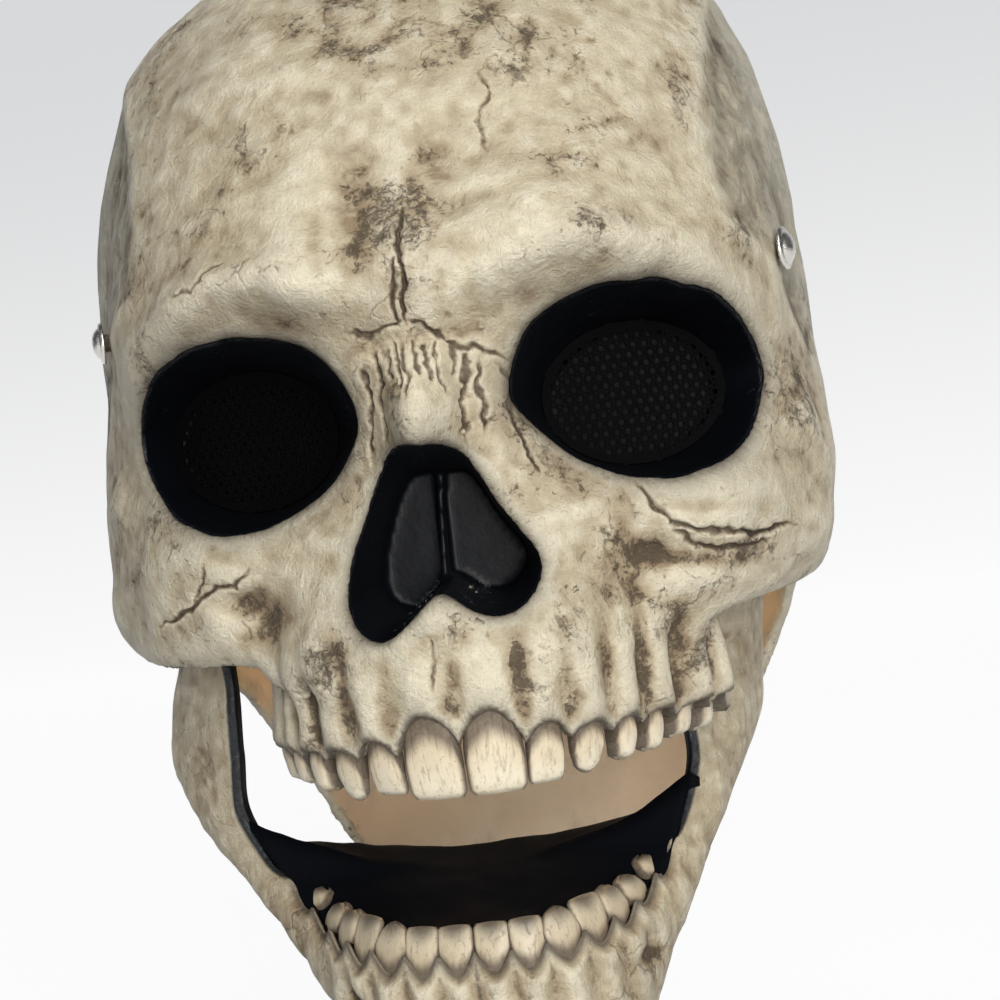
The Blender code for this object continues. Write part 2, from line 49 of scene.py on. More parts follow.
# %% [markdown]
# A skull is drawn from the root of the nose, so the shapes below are worked out in millimetres
# from there: x across, y backwards, z up. The frame starts at the inside of the crown instead.
# One small function carries points from the first to the second.

# %% From the root of the nose to the frame
ROOT = np.array([0.0, -100.0, -119.0])


def to_frame(points):
    return (np.asarray(points, dtype=float) + ROOT) / 1000.0


def vec(point):
    return Vector(to_frame(point))


print("the root of the nose is at", tuple(round(c, 4) for c in vec((0, 0, 0))))

# %% [markdown]
# The camera stands where the photographer stood: about a third of a metre in front of the face,
# a little to its left, and tipped by seven degrees. A lens of 54 mm gives the photograph's frame.

# %% Camera
def look_through(name, place, ahead, above, lens):
    ahead = Vector(ahead).normalized()
    right = ahead.cross(Vector(above)).normalized()
    above = right.cross(ahead)
    data = bpy.data.cameras.new(name)
    data.lens, data.sensor_width = lens, 36.0
    data.clip_start, data.clip_end = 0.01, 20.0
    made = bpy.data.objects.new(name, data)
    bpy.context.scene.collection.objects.link(made)
    turn = Matrix((right, above, -ahead)).transposed()
    made.matrix_world = Matrix.Translation(place) @ turn.to_4x4()
    return made


CAMERA_AHEAD = (-0.0986, 0.9949, -0.0197)
CAMERA_ABOVE = (0.1247, 0.0320, 0.9917)
camera = look_through("camera", vec((45.9, -321.0, -30.9)), CAMERA_AHEAD, CAMERA_ABOVE, 54.0)
bpy.context.scene.camera = camera
print("camera at", tuple(round(c, 3) for c in camera.location))

# %% [markdown]
# Every mesh here is made from arrays of points and faces. One helper writes such arrays into a
# Blender object, in the frame's metres, shaded smooth. It can also store painted values, one a
# point, under a name that a material reads back.

# %% Arrays to an object
def mesh_object(name, points, faces, painted=None):
    mesh = bpy.data.meshes.new(name)
    mesh.from_pydata(to_frame(points).tolist(), [], faces)
    mesh.validate()
    mesh.shade_smooth()
    for label, values in (painted or {}).items():
        layer = mesh.attributes.new(label, "FLOAT", "POINT")
        layer.data.foreach_set("value", np.asarray(values, dtype=np.float32))
    made = bpy.data.objects.new(name, mesh)
    bpy.context.scene.collection.objects.link(made)
    return made


def triangles(obj):
    return sum(len(face.vertices) - 2 for face in obj.data.polygons)


# %% [markdown]
# Smooth curves through a few chosen numbers describe the plan of the skull at each height. A
# cubic with slopes from the neighbours keeps them free of corners.

# %% Smooth curves through tables
def smooth(x, places, values):
    places, values = np.asarray(places, float), np.asarray(values, float)
    slope = np.gradient(values, places)
    i = np.clip(np.searchsorted(places, x) - 1, 0, len(places) - 2)
    h = places[i + 1] - places[i]
    t = np.clip((x - places[i]) / h, 0.0, 1.0)
    return ((1 + 2 * t) * (1 - t) ** 2 * values[i] + t * (1 - t) ** 2 * h * slope[i]
            + t * t * (3 - 2 * t) * values[i + 1] + t * t * (t - 1) * h * slope[i + 1])


def step(x, low, high):
    t = np.clip((x - low) / (high - low), 0.0, 1.0)
    return t * t * (3 - 2 * t)


def bell(x, middle, spread):
    return np.exp(-((x - middle) / spread) ** 2)


PLAN = np.array([
    # height, half width, front, back
    (-168.0, 69.7, -8.4, 188.9), (-131.0, 75.4, -8.4, 194.3), (-100.8, 85.0, -8.4, 204.2),
    (-75.6, 90.7, -6.9, 216.5), (-63.8, 91.2, -4.9, 223.4), (-53.8, 91.1, -3.4, 227.8),
    (-43.7, 91.9, -1.5, 231.7), (-33.6, 92.6, 0.0, 234.7), (-23.5, 93.4, 0.5, 237.1),
    (-13.4, 94.1, -0.5, 239.1), (-3.4, 94.7, -2.0, 240.6), (8.5, 95.0, -3.0, 241.1),
    (20.7, 94.5, -3.0, 240.1), (35.4, 93.4, 1.0, 236.7), (53.7, 91.2, 8.9, 228.8),
    (73.2, 86.4, 20.7, 216.5), (90.3, 78.3, 34.4, 200.5), (104.9, 62.1, 50.4, 182.0),
    (114.7, 44.4, 66.4, 159.9), (120.2, 27.7, 81.2, 135.3), (122.0, 0.5, 105.5, 106.5),
])
MIDDLE, POWER = 106.0, 2.25
print("plan rows", len(PLAN))

# %% [markdown]
# The face is modelled the way a sculptor adds clay. Soft dabs raise or lower the surface at a
# place, and strokes do the same along a line. The front takes its relief as seen from the front,
# the sides as seen from the side, and both fade out where the surface turns away.

# %% Dabs and strokes of clay
def dab(a, b, place, spread, lift, turn=0.0):
    c, s = math.cos(math.radians(turn)), math.sin(math.radians(turn))
    u, v = (a - place[0]), (b - place[1])
    return lift * np.exp(-((u * c + v * s) / spread[0]) ** 2 - ((v * c - u * s) / spread[1]) ** 2)


def to_line(a, b, line):
    """Distance from each point to a line of points, and how far along it the nearest place is."""
    best = np.full(np.broadcast(a, b).shape, 1e6)
    along = np.zeros_like(best)
    for k, ((ax, ay), (bx, by)) in enumerate(zip(line, line[1:])):
        dx, dy = bx - ax, by - ay
        t = np.clip(((a - ax) * dx + (b - ay) * dy) / (dx * dx + dy * dy), 0, 1)
        d = np.hypot(a - ax - t * dx, b - ay - t * dy)
        nearer = d < best
        best = np.where(nearer, d, best)
        along = np.where(nearer, (k + t) / (len(line) - 1), along)
    return best, along


def stroke(a, b, line, width, lift):
    d, along = to_line(a, b, line)
    return lift * np.exp(-(d / width) ** 2) * (0.35
                                               + 0.65 * np.sin(np.pi * np.clip(along, 0.02, 0.98)))


# Places are millimetres from the root of the nose, for one half of the face
BOTH_SIDES = (
    # place across and up, spread, lift, turn
    ((40, 14), (23, 14), 6.2, 0), ((71, 4), (11.5, 17.5), 4.6, 0),
    ((32.5, -15), (15, 23.5), -10.0, 0),
    ((70, -45), (15.3, 16.7), 6.0, 0), ((40, -57), (14.3, 12.7), -5.5, 0),
    ((51.5, -78), (19, 13.7), -13.0, 0), ((62, -41), (12, 5), 2.2, -8),
    ((38, -61), (7, 8), -2.5, 20),
    ((45.5, -53.5), (5, 3.2), -3.4, -15), ((27, -72), (4.2, 15), 2.4, 5),
    ((17, -73), (5, 12), -1.4, 0),
    ((56, -60), (8, 4.5), 1.6, 20), ((26, 11), (10, 4.5), 1.8, 12), ((31, 29), (18, 11), 2.4, 10),
    ((24, 19), (13, 7), 2.2, 12), ((52, 10), (10, 6), 1.6, -25),
    ((33, 64), (18, 16), 1.8, 0), ((9, 34), (7, 14), -1.4, 0),
)
MIDLINE = (
    ((0, 15), (14.5, 14), 5.0, 0), ((0, -16), (9.2, 14.7), 12.0, 0),
    ((-0.5, -20.0), (8.4, 7.5), 3.4, 0),
    ((-1, -24.6), (8.0, 2.6), 2.4, 0),
    ((0, -61), (12.4, 7.8), 4.0, 0), ((0, -1), (13, 3.2), -2.4, 0), ((0, -57), (3.2, 5.0), 3.2, 0),
)
ONE_SIDE = (
    ((57, -56), (11, 3.4), -2.4, -6), ((58, -48), (13, 2.6), 1.7, -6),
    ((-62, -58), (7, 6), -2.2, 0),
    ((-50, -47), (9, 3), 1.5, -25), ((14, 26), (9, 3), -1.3, 0), ((-20, 40), (12, 8), 1.2, 30),
)
BROW = ((6, 9), (17, 11), (31, 16), (44, 17), (58, 12), (70, 5), (79, -4))
NASAL_EDGE = ((8.5, -2), (8.8, -10), (9.6, -18), (11.5, -26))


def front_relief(x, z):
    side = np.abs(x)
    lift = sum(dab(side, z, *row) for row in BOTH_SIDES) + sum(dab(x, z, *row) for row in MIDLINE)
    lift += sum(dab(x, z, *row) for row in ONE_SIDE)
    lift += stroke(side, z, BROW, 5.5, 3.6) - stroke(side, z, NASAL_EDGE, 2.6, 2.2)
    return lift


TEMPLE_LINE = np.array([(-12, 60), (2, 50), (9.3, 42.9), (14.9, 35.8), (20.4, 29.0), (28.8, 27.5),
                        (38.7, 29.8), (49, 35), (60.4, 43.5), (72, 55), (84, 72), (95, 98)])


def side_relief(y, z):
    lift = 7.6 * bell(y, 54.1, 32.0) * bell(z, -38.5, 25.0) + 3.2 * bell(y, 54.0, 26.0) * bell(z,
        -58.0, 9.0)
    behind = y - np.interp(z, TEMPLE_LINE[:, 0], TEMPLE_LINE[:, 1])
    window = step(z, -16, 8) * (1 - step(z, 60, 96)) * (1 - step(y, 56, 86))
    beside_rivet = 1 - 0.85 * bell(y, 47.6, 11) * bell(z, 13.5, 11)
    lift -= 3.6 * step(behind, -4.0, 11.0) * window * beside_rivet
    lift += 1.3 * bell(behind, -3.0, 4.5) * step(z, 6, 16) * (1 - step(z, 74, 96))
    lift += dab(y, z, (44, -27), (7, 6), 2.6) + dab(y, z, (52, -52), (12, 7), 1.4)
    return lift


print("dabs", 2 * len(BOTH_SIDES) + len(MIDLINE) + len(ONE_SIDE))

# %% [markdown]
# The skull is one closed wall with funnels for eyes and nose, which is hard to knit from sheets.
# Instead a number is worked out at each point of a block of space: below zero is latex, above
# zero is air. Shapes are joined with a soft minimum, cut with a soft maximum, and the surface is
# the zero between them. First come the outer form and the horseshoe of the upper jaw.

# %% The outer form as a field
def soft_min(a, b, k):
    h = np.clip(0.5 + 0.5 * (b - a) / k, 0, 1)
    return b + (a - b) * h - k * h * (1 - h)


def soft_max(a, b, k):
    return -soft_min(-a, -b, k)


def skull_form(x, y, z):
    width, front, back = (smooth(z, PLAN[:, 0], PLAN[:, k]) for k in (1, 2, 3))
    x = x + 4.2 * np.clip(-z / 75.0, 0, 1) ** 2
    x = x * (1 + 0.075 * step(z, 88, 118))
    facing = np.clip((MIDDLE - y) / (MIDDLE - front), 0, 1)
    y = y + front_relief(x, z) * np.sqrt(facing)
    turned = np.clip(np.abs(x) / width, 0, 1) ** 2
    swollen = 4.8 * (x < 0) * step(y, 46, 78) * bell(z, 14, 66)
    across = np.maximum(np.abs(x) - (side_relief(y, z) + swollen) * turned, 0)
    reach = np.where(y < MIDDLE, MIDDLE - front, back - MIDDLE)
    ratio = ((across / width) ** POWER + (np.abs(y - MIDDLE) / reach) ** POWER) ** (1 / POWER)
    ratio = np.maximum(ratio, 0.05)
    return np.hypot(across, y - MIDDLE) * (1 - 1 / ratio)


ARCH = np.array([(-110.0, 51.5, -12.0), (-84.0, 51.5, -12.0), (-72.5, 50.0, -10.8),
                 (-59.0, 47.8, -7.7),
                 (-45.0, 44.7, -2.1)])
ARCH_BACK = 50.0


def evened(x):
    """The right end of the tooth row flares, so it's drawn in to make both sides alike."""
    return x * (1 - 0.15 * step(x, 34.0, 62.0))


def arch_share(x, y):
    """Place along one half of the tooth row, 0 at the middle and 1 at the last tooth."""
    x = evened(x)
    turn = np.arctan2(np.abs(x) / 52.0, np.maximum(ARCH_BACK - y, 0.0) / 62.0)
    return turn / (0.45 * math.pi)


UPPER = (0.196, 0.142, 0.146, 0.122, 0.120, 0.142, 0.126)
UPPER_GUM = (-80.6, -85.2, -87.0, -87.8, -88.4, -89.0, -89.8)
UPPER_POINTS = (-87.6, -89.4, -90.2, -91.0, -91.6, -92.2, -92.8, -94.0)
UPPER_TIP = (-98.6, -98.0, -98.8, -97.4, -97.6, -97.4, -97.2)


def tooth_phase(share, widths):
    """Which tooth a place belongs to, and -1 to 1 across it."""
    edges = np.concatenate([[0.0], np.cumsum(widths)])
    k = np.clip(np.searchsorted(edges, share) - 1, 0, len(widths) - 1)
    middle = (edges[k] + edges[k + 1]) / 2
    return k, (share - middle) / (edges[k + 1] - edges[k]) * 2


def gum_line(x, y):
    k, t = tooth_phase(arch_share(x, y), UPPER)
    peak, before, after = (np.asarray(v) for v in (UPPER_GUM, UPPER_POINTS[:-1], UPPER_POINTS[1:]))
    point = np.where(t < 0, before[k], after[k])
    return peak[k] + (point - peak[k]) * np.clip(np.abs(t), 0, 1.2) ** 1.9


def arch_form(x, y, z, inset=0.0):
    width, front = (smooth(z, ARCH[:, 0], ARCH[:, k]) for k in (1, 2))
    k, t = tooth_phase(arch_share(x, y), UPPER)
    x = evened(x)
    roots = 1.25 * np.cos(np.pi * np.clip(t, -1.2, 1.2)) * step(-z, 58,
                                                                76) * (1 - step(-z, 100, 110))
    width = width - inset + (roots if inset == 0 else 0)
    ahead = ARCH_BACK - front - inset + (roots if inset == 0 else 0)
    ratio = np.where(y < ARCH_BACK, np.hypot(x / width, (ARCH_BACK - y) / ahead), np.abs(x) / width)
    ratio = np.maximum(ratio, 0.05)
    return np.where(y < ARCH_BACK, np.hypot(x, y - ARCH_BACK), np.abs(x)) * (1 - 1 / ratio)


print("upper gum line at the middle",
      round(float(gum_line(np.array([4.0]), np.array([-11.0]))[0]), 1))

# %% [markdown]
# The sockets are funnels. Their rims were read around the clock for each eye, since a hand-made
# mould is never quite even. The nose is an upside-down heart, read the same way, and a thin
# septum is left standing in it.

# %% Sockets and nose as fields
EYE_TURN = math.radians(12.0)
EYE_HALF = (22.2, 16.9)
RIM = {-1: (27.0, 23.4, 20.2, 18.8, 20.8, 26.0, 29.4, 25.8, 22.8, 22.4, 23.0, 24.6),
       1: (29.6, 25.6, 21.6, 19.6, 21.2, 25.0, 27.0, 22.3, 20.5, 21.2, 24.0, 28.2)}
NOSE_MIDDLE = (0.0, -46.0)
NOSE_RIM = {
    1: ((-90, 8.5), (-75, 10.4), (-63, 14.9), (-52, 19.0), (-35, 22.0), (-21, 22.9), (-11, 22.1),
        (5, 18.6),
        (32, 16.6), (52, 18.4), (72, 21.9), (90, 21.0)),
    -1: ((-90, 8.5), (-74, 10.4), (-62, 15.9), (-54, 21.4), (-44, 23.8), (-27, 23.6), (-12, 21.2),
         (9, 19.0),
         (36, 19.3), (55, 21.4), (66, 23.0), (90, 21.0)),
}


def around(turn, values):
    """A smooth closed curve through values at even steps of a full turn."""
    n = len(values)
    place = (turn / (2 * math.pi) * n) % n
    i = place.astype(int)
    t = place - i
    v = np.asarray(values)
    a, b, c, d = v[(i - 1) % n], v[i % n], v[(i + 1) % n], v[(i + 2) % n]
    return 0.5 * (2 * b + (c - a) * t + (2 * a - 5 * b + 4 * c - d) * t ** 2
                  + (3 * b - a - 3 * c + d) * t ** 3)


def eye_axes(side):
    """Across (towards the temple), up and out of a socket, and the middle of its mesh."""
    out = np.array([side * math.sin(EYE_TURN), -math.cos(EYE_TURN), 0.0])
    across = np.array([side * math.cos(EYE_TURN), math.sin(EYE_TURN), 0.0])
    return across, np.array([0.0, 0.0, 1.0]), out, np.array([45.5 if side > 0 else -47.6, 38.0,
                                                             -16.5])


def rim_ring(side):
    """The rim about the mesh's middle: twelve radii, and how far each stands out of the mesh."""
    across, up, out, middle = eye_axes(side)
    turns = np.arange(12) * math.pi / 6
    x = 46.5 + np.array(RIM[side]) * np.cos(turns)
    y = 12.0 + 23.0 * np.clip((x - 45.0) / 31.0, 0, 2) ** 2.2
    spots = np.stack([side * x, y, -15.0 + np.array(RIM[side]) * np.sin(turns)], -1) - middle
    u, v, h = spots @ across, spots @ up, spots @ out
    turned = np.unwrap(np.arctan2(v, u))
    order = np.arange(36) * math.pi / 18
    wrapped = np.concatenate([turned - 2 * math.pi, turned, turned + 2 * math.pi])
    return (np.interp(order, wrapped, np.tile(np.hypot(u, v), 3)),
            np.interp(order, wrapped, np.tile(h, 3)))


def socket_form(x, y, z, side):
    across, up, out, middle = eye_axes(side)
    dx, dy, dz = x - middle[0], y - middle[1], z - middle[2]
    u, v, h = dx * across[0] + dy * across[1], dz, dx * out[0] + dy * out[1]
    turn = np.arctan2(v, u)
    radii, heights = rim_ring(side)
    sheet = 1 / np.hypot(np.cos(turn) / (EYE_HALF[0] + 0.5), np.sin(turn) / (EYE_HALF[1] + 0.5))
    share = np.clip(h / around(turn, heights), -0.4, 1.3)
    return (np.hypot(u, v) - sheet - (around(turn, radii) - sheet) * share) * 0.9


def nose_form(x, y, z):
    u, v = np.abs(x), z - NOSE_MIDDLE[1]
    squeeze = 1.0 - 0.009 * np.clip(y + 6, -6, 40)
    turn = np.degrees(np.arctan2(v, np.maximum(u, 1e-3)))
    rim = [smooth(turn, *zip(*NOSE_RIM[side])) for side in (-1, 1)]
    return np.hypot(u, v) / squeeze - np.where(x < 0, rim[0], rim[1])


print("rim readings", len(RIM[1]), "and", len(NOSE_RIM[1]))

# %% [markdown]
# The block is not even: its steps are fine over the face and coarse over the crown and nape,
# where nothing small happens. Walls come from the distance to the outer form, which is the
# field divided by its own slope. Cups behind the eyes and nose keep their own wall.

# %% Fill the block
def graded(stops):
    """Coordinates from (start, step) pairs up to the last start."""
    out = [stops[0][0]]
    for (_, size), (end, _) in zip(stops, stops[1:]):
        count = max(1, int(round((end - out[-1]) / size)))
        out += list(np.linspace(out[-1], end, count + 1)[1:])
    return np.array(out)


FINE = 1.25
COARSE = 2.0
grid_x = graded([(-103.0, FINE * 1.1), (103.0, 0)])
grid_y = graded([(-23.0, FINE), (50.0, FINE * 1.4), (92.0, COARSE), (247.0, 0)])
grid_z = graded([(-173.0, COARSE), (-104.0, FINE * 0.9), (26.0, FINE * 1.25), (86.0, COARSE),
                 (127.0, 0)])
X, Y, Z = (grid_x[:, None, None], grid_y[None, :, None], grid_z[None, None, :])


def even_slope(field):
    slopes = np.gradient(field, grid_x, grid_y, grid_z)
    return field / np.maximum(np.sqrt(sum(s * s for s in slopes)), 0.35)


RIM_LINE = np.array([(-40, -70.5), (20, -69.0), (45, -68.0), (70, -67.0), (104, -67.0),
                     (123, -74.0),
                     (140, -94.0), (149, -112.0), (156, -140.0), (164, -166.0), (260, -168.0)])
outer = even_slope(skull_form(X, Y, Z))
wall = 3.0 + 0.5 * step(Y, 60, 100)
rim_cut = 0.8 * (np.interp(Y, RIM_LINE[:, 0], RIM_LINE[:, 1]) - Z)
arch = even_slope(arch_form(X, Y, Z))
arch = soft_max(arch, Z + 46.0, 2.0)
arch = soft_max(arch, gum_line(X, Y) - Z, 1.2)
# The right end stops earlier, which leaves the jaw's arm room to swing
arch = np.maximum(arch, Y - 52.0 + 6.5 * step(X, 30, 44))
form = soft_min(soft_max(outer, rim_cut, 4.0), arch, 11.0)
form = np.where(Y > 56, form, soft_max(form, gum_line(X, Y) - Z, 1.2))
head_space = np.maximum(outer + wall, 0.2 - arch)
arch_space = np.maximum(even_slope(arch_form(X, Y, Z, 4.5)), np.maximum(Z + 40.0, Y - 70.0))
cups = np.minimum.reduce([socket_form(X, Y, Z, side) for side in (-1, 1)])
pocket = nose_form(X, Y, Z) + 0 * outer
kept = np.minimum(np.maximum(cups, Y - 46.0), np.maximum(pocket, Y - 20.0)) - 3.0
hollow = np.maximum(np.minimum(head_space, arch_space), -kept)
septum = np.maximum(np.abs(X + 1.5 - 0.05 * (Z + 46)) - 0.9, 14.0 + 0.25 * (Z + 46) - Y)
solid = np.maximum(form, -hollow)
solid = soft_max(solid, -np.maximum(cups, Y - 46.0), 2.2)
solid = soft_max(solid, -np.maximum(np.maximum(pocket, Y - 20.0), -septum), 1.6)
print("block", solid.shape, "of", solid.size, "points")

# %% [markdown]
# The surface is knit by surface nets. Each small cell that the zero passes through gets one
# point, at the mean of the crossings on its twelve edges. Each grid edge that crosses joins the
# four cells around it with a quad. The result is closed, and every quad faces outwards.

# %% Surface nets
def surface_net(field, gx, gy, gz):
    inside = field < 0
    nx, ny, nz = field.shape
    cell = (nx - 1, ny - 1, nz - 1)
    total = np.zeros(cell + (3,))
    count = np.zeros(cell)
    axes = (gx, gy, gz)
    corner = [np.broadcast_to(a.reshape([-1 if i == k else 1 for i in range(3)]), field.shape)
              for k, a in enumerate(axes)]
    for axis in range(3):
        low = [slice(None)] * 3
        high = [slice(None)] * 3
        low[axis], high[axis] = slice(0, -1), slice(1, None)
        low, high = tuple(low), tuple(high)
        crosses = inside[low] != inside[high]
        share = np.where(crosses, field[low] / np.where(crosses, field[low] - field[high], 1), 0)
        points = np.stack([c[low] + (c[high] - c[low]) * share for c in corner], -1)
        others = [k for k in range(3) if k != axis]
        for shift_a in (0, 1):
            for shift_b in (0, 1):
                take = [slice(None)] * 3
                take[others[0]] = slice(shift_a, shift_a + cell[others[0]])
                take[others[1]] = slice(shift_b, shift_b + cell[others[1]])
                take = tuple(take)
                total += points[take] * crosses[take][..., None]
                count += crosses[take]
    used = count > 0
    index = -np.ones(cell, dtype=int)
    index[used] = np.arange(used.sum())
    points = total[used] / count[used][:, None]
    quads = []
    for axis in range(3):
        a, b = [k for k in range(3) if k != axis]
        low = [slice(None)] * 3
        high = [slice(None)] * 3
        low[axis], high[axis] = slice(0, -1), slice(1, None)
        crosses = inside[tuple(low)] != inside[tuple(high)]
        starts_in = inside[tuple(low)]
        place = np.argwhere(crosses)
        keep = (place[:, a] > 0) & (place[:, b] > 0) & (place[:, a] < cell[a]) & (place[:, b]
                                                                                  < cell[b])
        place = place[keep]
        ring = []
        for da, db in ((1, 1), (0, 1), (0, 0), (1, 0)):
            at = place.copy()
            at[:, a] -= da
            at[:, b] -= db
            ring.append(index[tuple(at.T)])
        ring = np.stack(ring, -1)
        flip = starts_in[tuple(place.T)] ^ (axis == 1)
        ring[~flip] = ring[~flip][:, ::-1]
        quads.append(ring)
    return points, np.concatenate(quads)


skull_points, skull_quads = surface_net(solid, grid_x, grid_y, grid_z)
print("skull net", len(skull_points), "points", len(skull_quads), "quads")

# %% [markdown]
# The knit points lie near the zero, and a few small steps along the slope settle them on it.
# Only the painted front needs every point. The crown, the nape and the inner wall are thinned,
# with a vertex group that says where.

# %% Settle and thin the skull
def sample(field, points):
    """The value of a block at any point, blended from the eight grid values around it."""
    index, share = [], []
    for axis, line in enumerate((grid_x, grid_y, grid_z)):
        i = np.clip(np.searchsorted(line, points[:, axis]) - 1, 0, len(line) - 2)
        index.append(i)
        share.append(np.clip((points[:, axis] - line[i]) / (line[i + 1] - line[i]), 0, 1))
    total = np.zeros(len(points))
    for corner in np.ndindex(2, 2, 2):
        weight = np.prod([s if c else 1 - s for c, s in zip(corner, share)], axis=0)
        total += weight * field[tuple(i + c for i, c in zip(index, corner))]
    return total


def settled(points, field, rounds=2, reach=0.7):
    for _ in range(rounds):
        slope = np.stack([(sample(field, points + e) - sample(field, points - e)) / (2 * reach)
                          for e in np.eye(3) * reach], -1)
        length = np.maximum(np.linalg.norm(slope, axis=1), 0.4)
        points = points - slope * np.clip(sample(field, points) / length ** 2, -0.6, 0.6)[:, None]
    return points


def arrays_of(obj):
    """Points in millimetres from the root of the nose, and outward directions."""
    count = len(obj.data.vertices)
    points, normals = np.empty(count * 3), np.empty(count * 3)
    obj.data.vertices.foreach_get("co", points)
    obj.data.vertices.foreach_get("normal", normals)
    return points.reshape(-1, 3) * 1000.0 - ROOT, normals.reshape(-1, 3)


def apply_modifiers(obj):
    done = bpy.data.meshes.new_from_object(obj.evaluated_get(bpy.context.evaluated_depsgraph_get()))
    obj.modifiers.clear()
    obj.data = done
    return obj


SKULL_BUDGET = 134000
skull = mesh_object("skull_visual", settled(skull_points, solid), skull_quads.tolist())
points, normals = arrays_of(skull)
hidden = (sample(form, points) < -1.4) & (sample(cups, points) > 1.2) & (sample(pocket, points)
                                                                         > 1.2)
hidden |= (points[:, 1] > 66) | (points[:, 1] > 40) & (points[:, 2] < -75)
group = skull.vertex_groups.new(name="thin")
group.add(np.flatnonzero(hidden).tolist(), 1.0, "REPLACE")
thin = skull.modifiers.new("thin", "DECIMATE")
thin.ratio = min(1.0, SKULL_BUDGET / triangles(skull))
thin.vertex_group = group.name
apply_modifiers(skull)
skull.vertex_groups.clear()
print("skull after thinning:", triangles(skull), "triangles")

# %% [markdown]
# Cracks, torn edges and the borders of paint are finer than the net. The faces near those lines
# are divided, in two rounds, so that the carving has points to move. The lines below were read
# on the front of the face, across and up.

# %% Lines of the face
CRACKS = {
    "glabella": (((1.6, 27), (0.2, 20), (0.9, 14), (-0.6, 9), (0.2, 2)), 1.3),
    "glabella_fork": (((-0.6, 17), (-1.8, 12), (-2.6, 6), (-2.0, 2)), 0.7),
    "glabella_right": (((0.2, 3), (4, 0.5), (9.2, -3.3), (14, -4.6), (19.7, -7.4)), 0.6),
    "glabella_left": (((-0.4, 3), (-4, 2.6), (-9, 1.2), (-14, 2.2)), 0.5),
    "nasal_left": (((-8.6, -2), (-7.6, -8), (-8.8, -14), (-8.0, -23)), 0.8),
    "nasal_left_out": (((-11.5, -5), (-11.0, -11), (-12.0, -18), (-13.0, -26)), 0.7),
    "nasal_right": (((11.0, -4), (10.4, -10), (9.6, -15), (8.6, -24)), 1.0),
    "nasal_right_out": (((13.4, -7), (12.4, -12), (13.4, -17), (12.6, -23)), 0.8),
    "suture": (((17, -8), (18.4, -12), (18.4, -18), (20.5, -26), (23, -33)), 0.55),
    "cheek_right": (((43.6, -37), (47.2, -42.5), (49.4, -47.2), (55.8, -49.3), (63.8, -51.5),
                     (72, -52.6),
                     (78, -51.5)), 1.2),
    "cheek_right_low": (((50, -48.5), (54.5, -52.5), (63, -55), (71.5, -54.4)), 0.7),
    "cheek_left": (((-45, -46), (-49, -49.8), (-54, -49.5), (-60, -53.4), (-66, -54.6),
                    (-72, -58)), 0.9),
    "cheek_left_low": (((-56, -44), (-58, -49), (-60.5, -53.5)), 0.5),
    "under_nose": (((-3, -64), (-2.2, -69), (-3.4, -75)), 0.5),
    "brow_left": (((-38, 22), (-44, 20), (-47, 15.6), (-53, 16.4)), 0.45),
    "forehead": (((20, 58), (22, 52), (19, 46), (21, 38)), 0.35),
}
for number, x in enumerate((-5.4, -3.2, -1.2, 1.2, 3.6, 6.0, 8.4)):
    sway = 0.5 * math.sin(number * 2.3)
    CRACKS["flute_%d" % number] = (((x - 0.6, -1.5), (x + sway, -6),
                                    (x + 0.2, -9.5 - 2 * (number % 3))), 0.55)
print(len(CRACKS), "lines")


def near_lines(points, reach, cracks_only):
    """Which points lie near a line or near the edge of some paint, on the front of the face."""
    x, y, z = points.T
    front = (y < 46) & (sample(form, points) > -3.5)
    close = np.zeros(len(points), bool)
    for line, _ in CRACKS.values():
        close |= to_line(x, z, line)[0] < reach
    if cracks_only:
        return close & front & (sample(form, points) > -1.5)
    close |= np.abs(z - gum_line(x, y)) < reach + 0.6
    close |= np.abs(sample(cups, points)) < reach * 0.7
    close |= np.abs(sample(pocket, points)) < reach * 0.7
    return close & front


def divide_near(obj, reach, cracks_only=False):
    points, _ = arrays_of(obj)
    close = near_lines(points, reach, cracks_only)
    shape = bmesh.new()
    shape.from_mesh(obj.data)
    shape.verts.ensure_lookup_table()
    edges = [e for e in shape.edges if close[e.verts[0].index] and close[e.verts[1].index]]
    bmesh.ops.subdivide_edges(shape, edges=edges, cuts=1)
    bmesh.ops.triangulate(shape, faces=[f for f in shape.faces if len(f.verts) > 4])
    shape.to_mesh(obj.data)
    shape.free()
    return len(edges)


print("divided", divide_near(skull, 2.4), "edges, then", divide_near(skull, 1.9, True))
print("doubled faces taken out:", skull.data.validate(), "and the skull has", triangles(skull),
      "triangles")

# %% [markdown]
# Hand-made latex is never smooth. Two sizes of random swelling are laid over the bone, and small
# pits are pressed in where the paint will gather. The randomness comes from a lattice of fixed
# numbers, so that each run gives the same mask.

# %% Random swelling
def rough(points, size, seed):
    """Smooth noise from -1 to 1, with lumps of a size in millimetres."""
    cell = points / size + 1000.0
    base = np.floor(cell).astype(np.int64)
    t = cell - base
    t = t * t * (3 - 2 * t)
    total = np.zeros(len(points))
    for corner in np.ndindex(2, 2, 2):
        at = base + corner
        mixed = (at[:, 0] * 73856093) ^ (at[:, 1] * 19349663) ^ (at[:, 2] * 83492791) ^ (seed
                                                                                         * 2654435)
        mixed = (mixed ^ (mixed >> 13)) * 1274126177 % 4294967296
        value = ((mixed ^ (mixed >> 16)) & 65535) / 32767.5 - 1.0
        weight = np.prod([s if c else 1 - s for c, s in zip(corner, t.T)], axis=0)
        total += weight * value
    return total


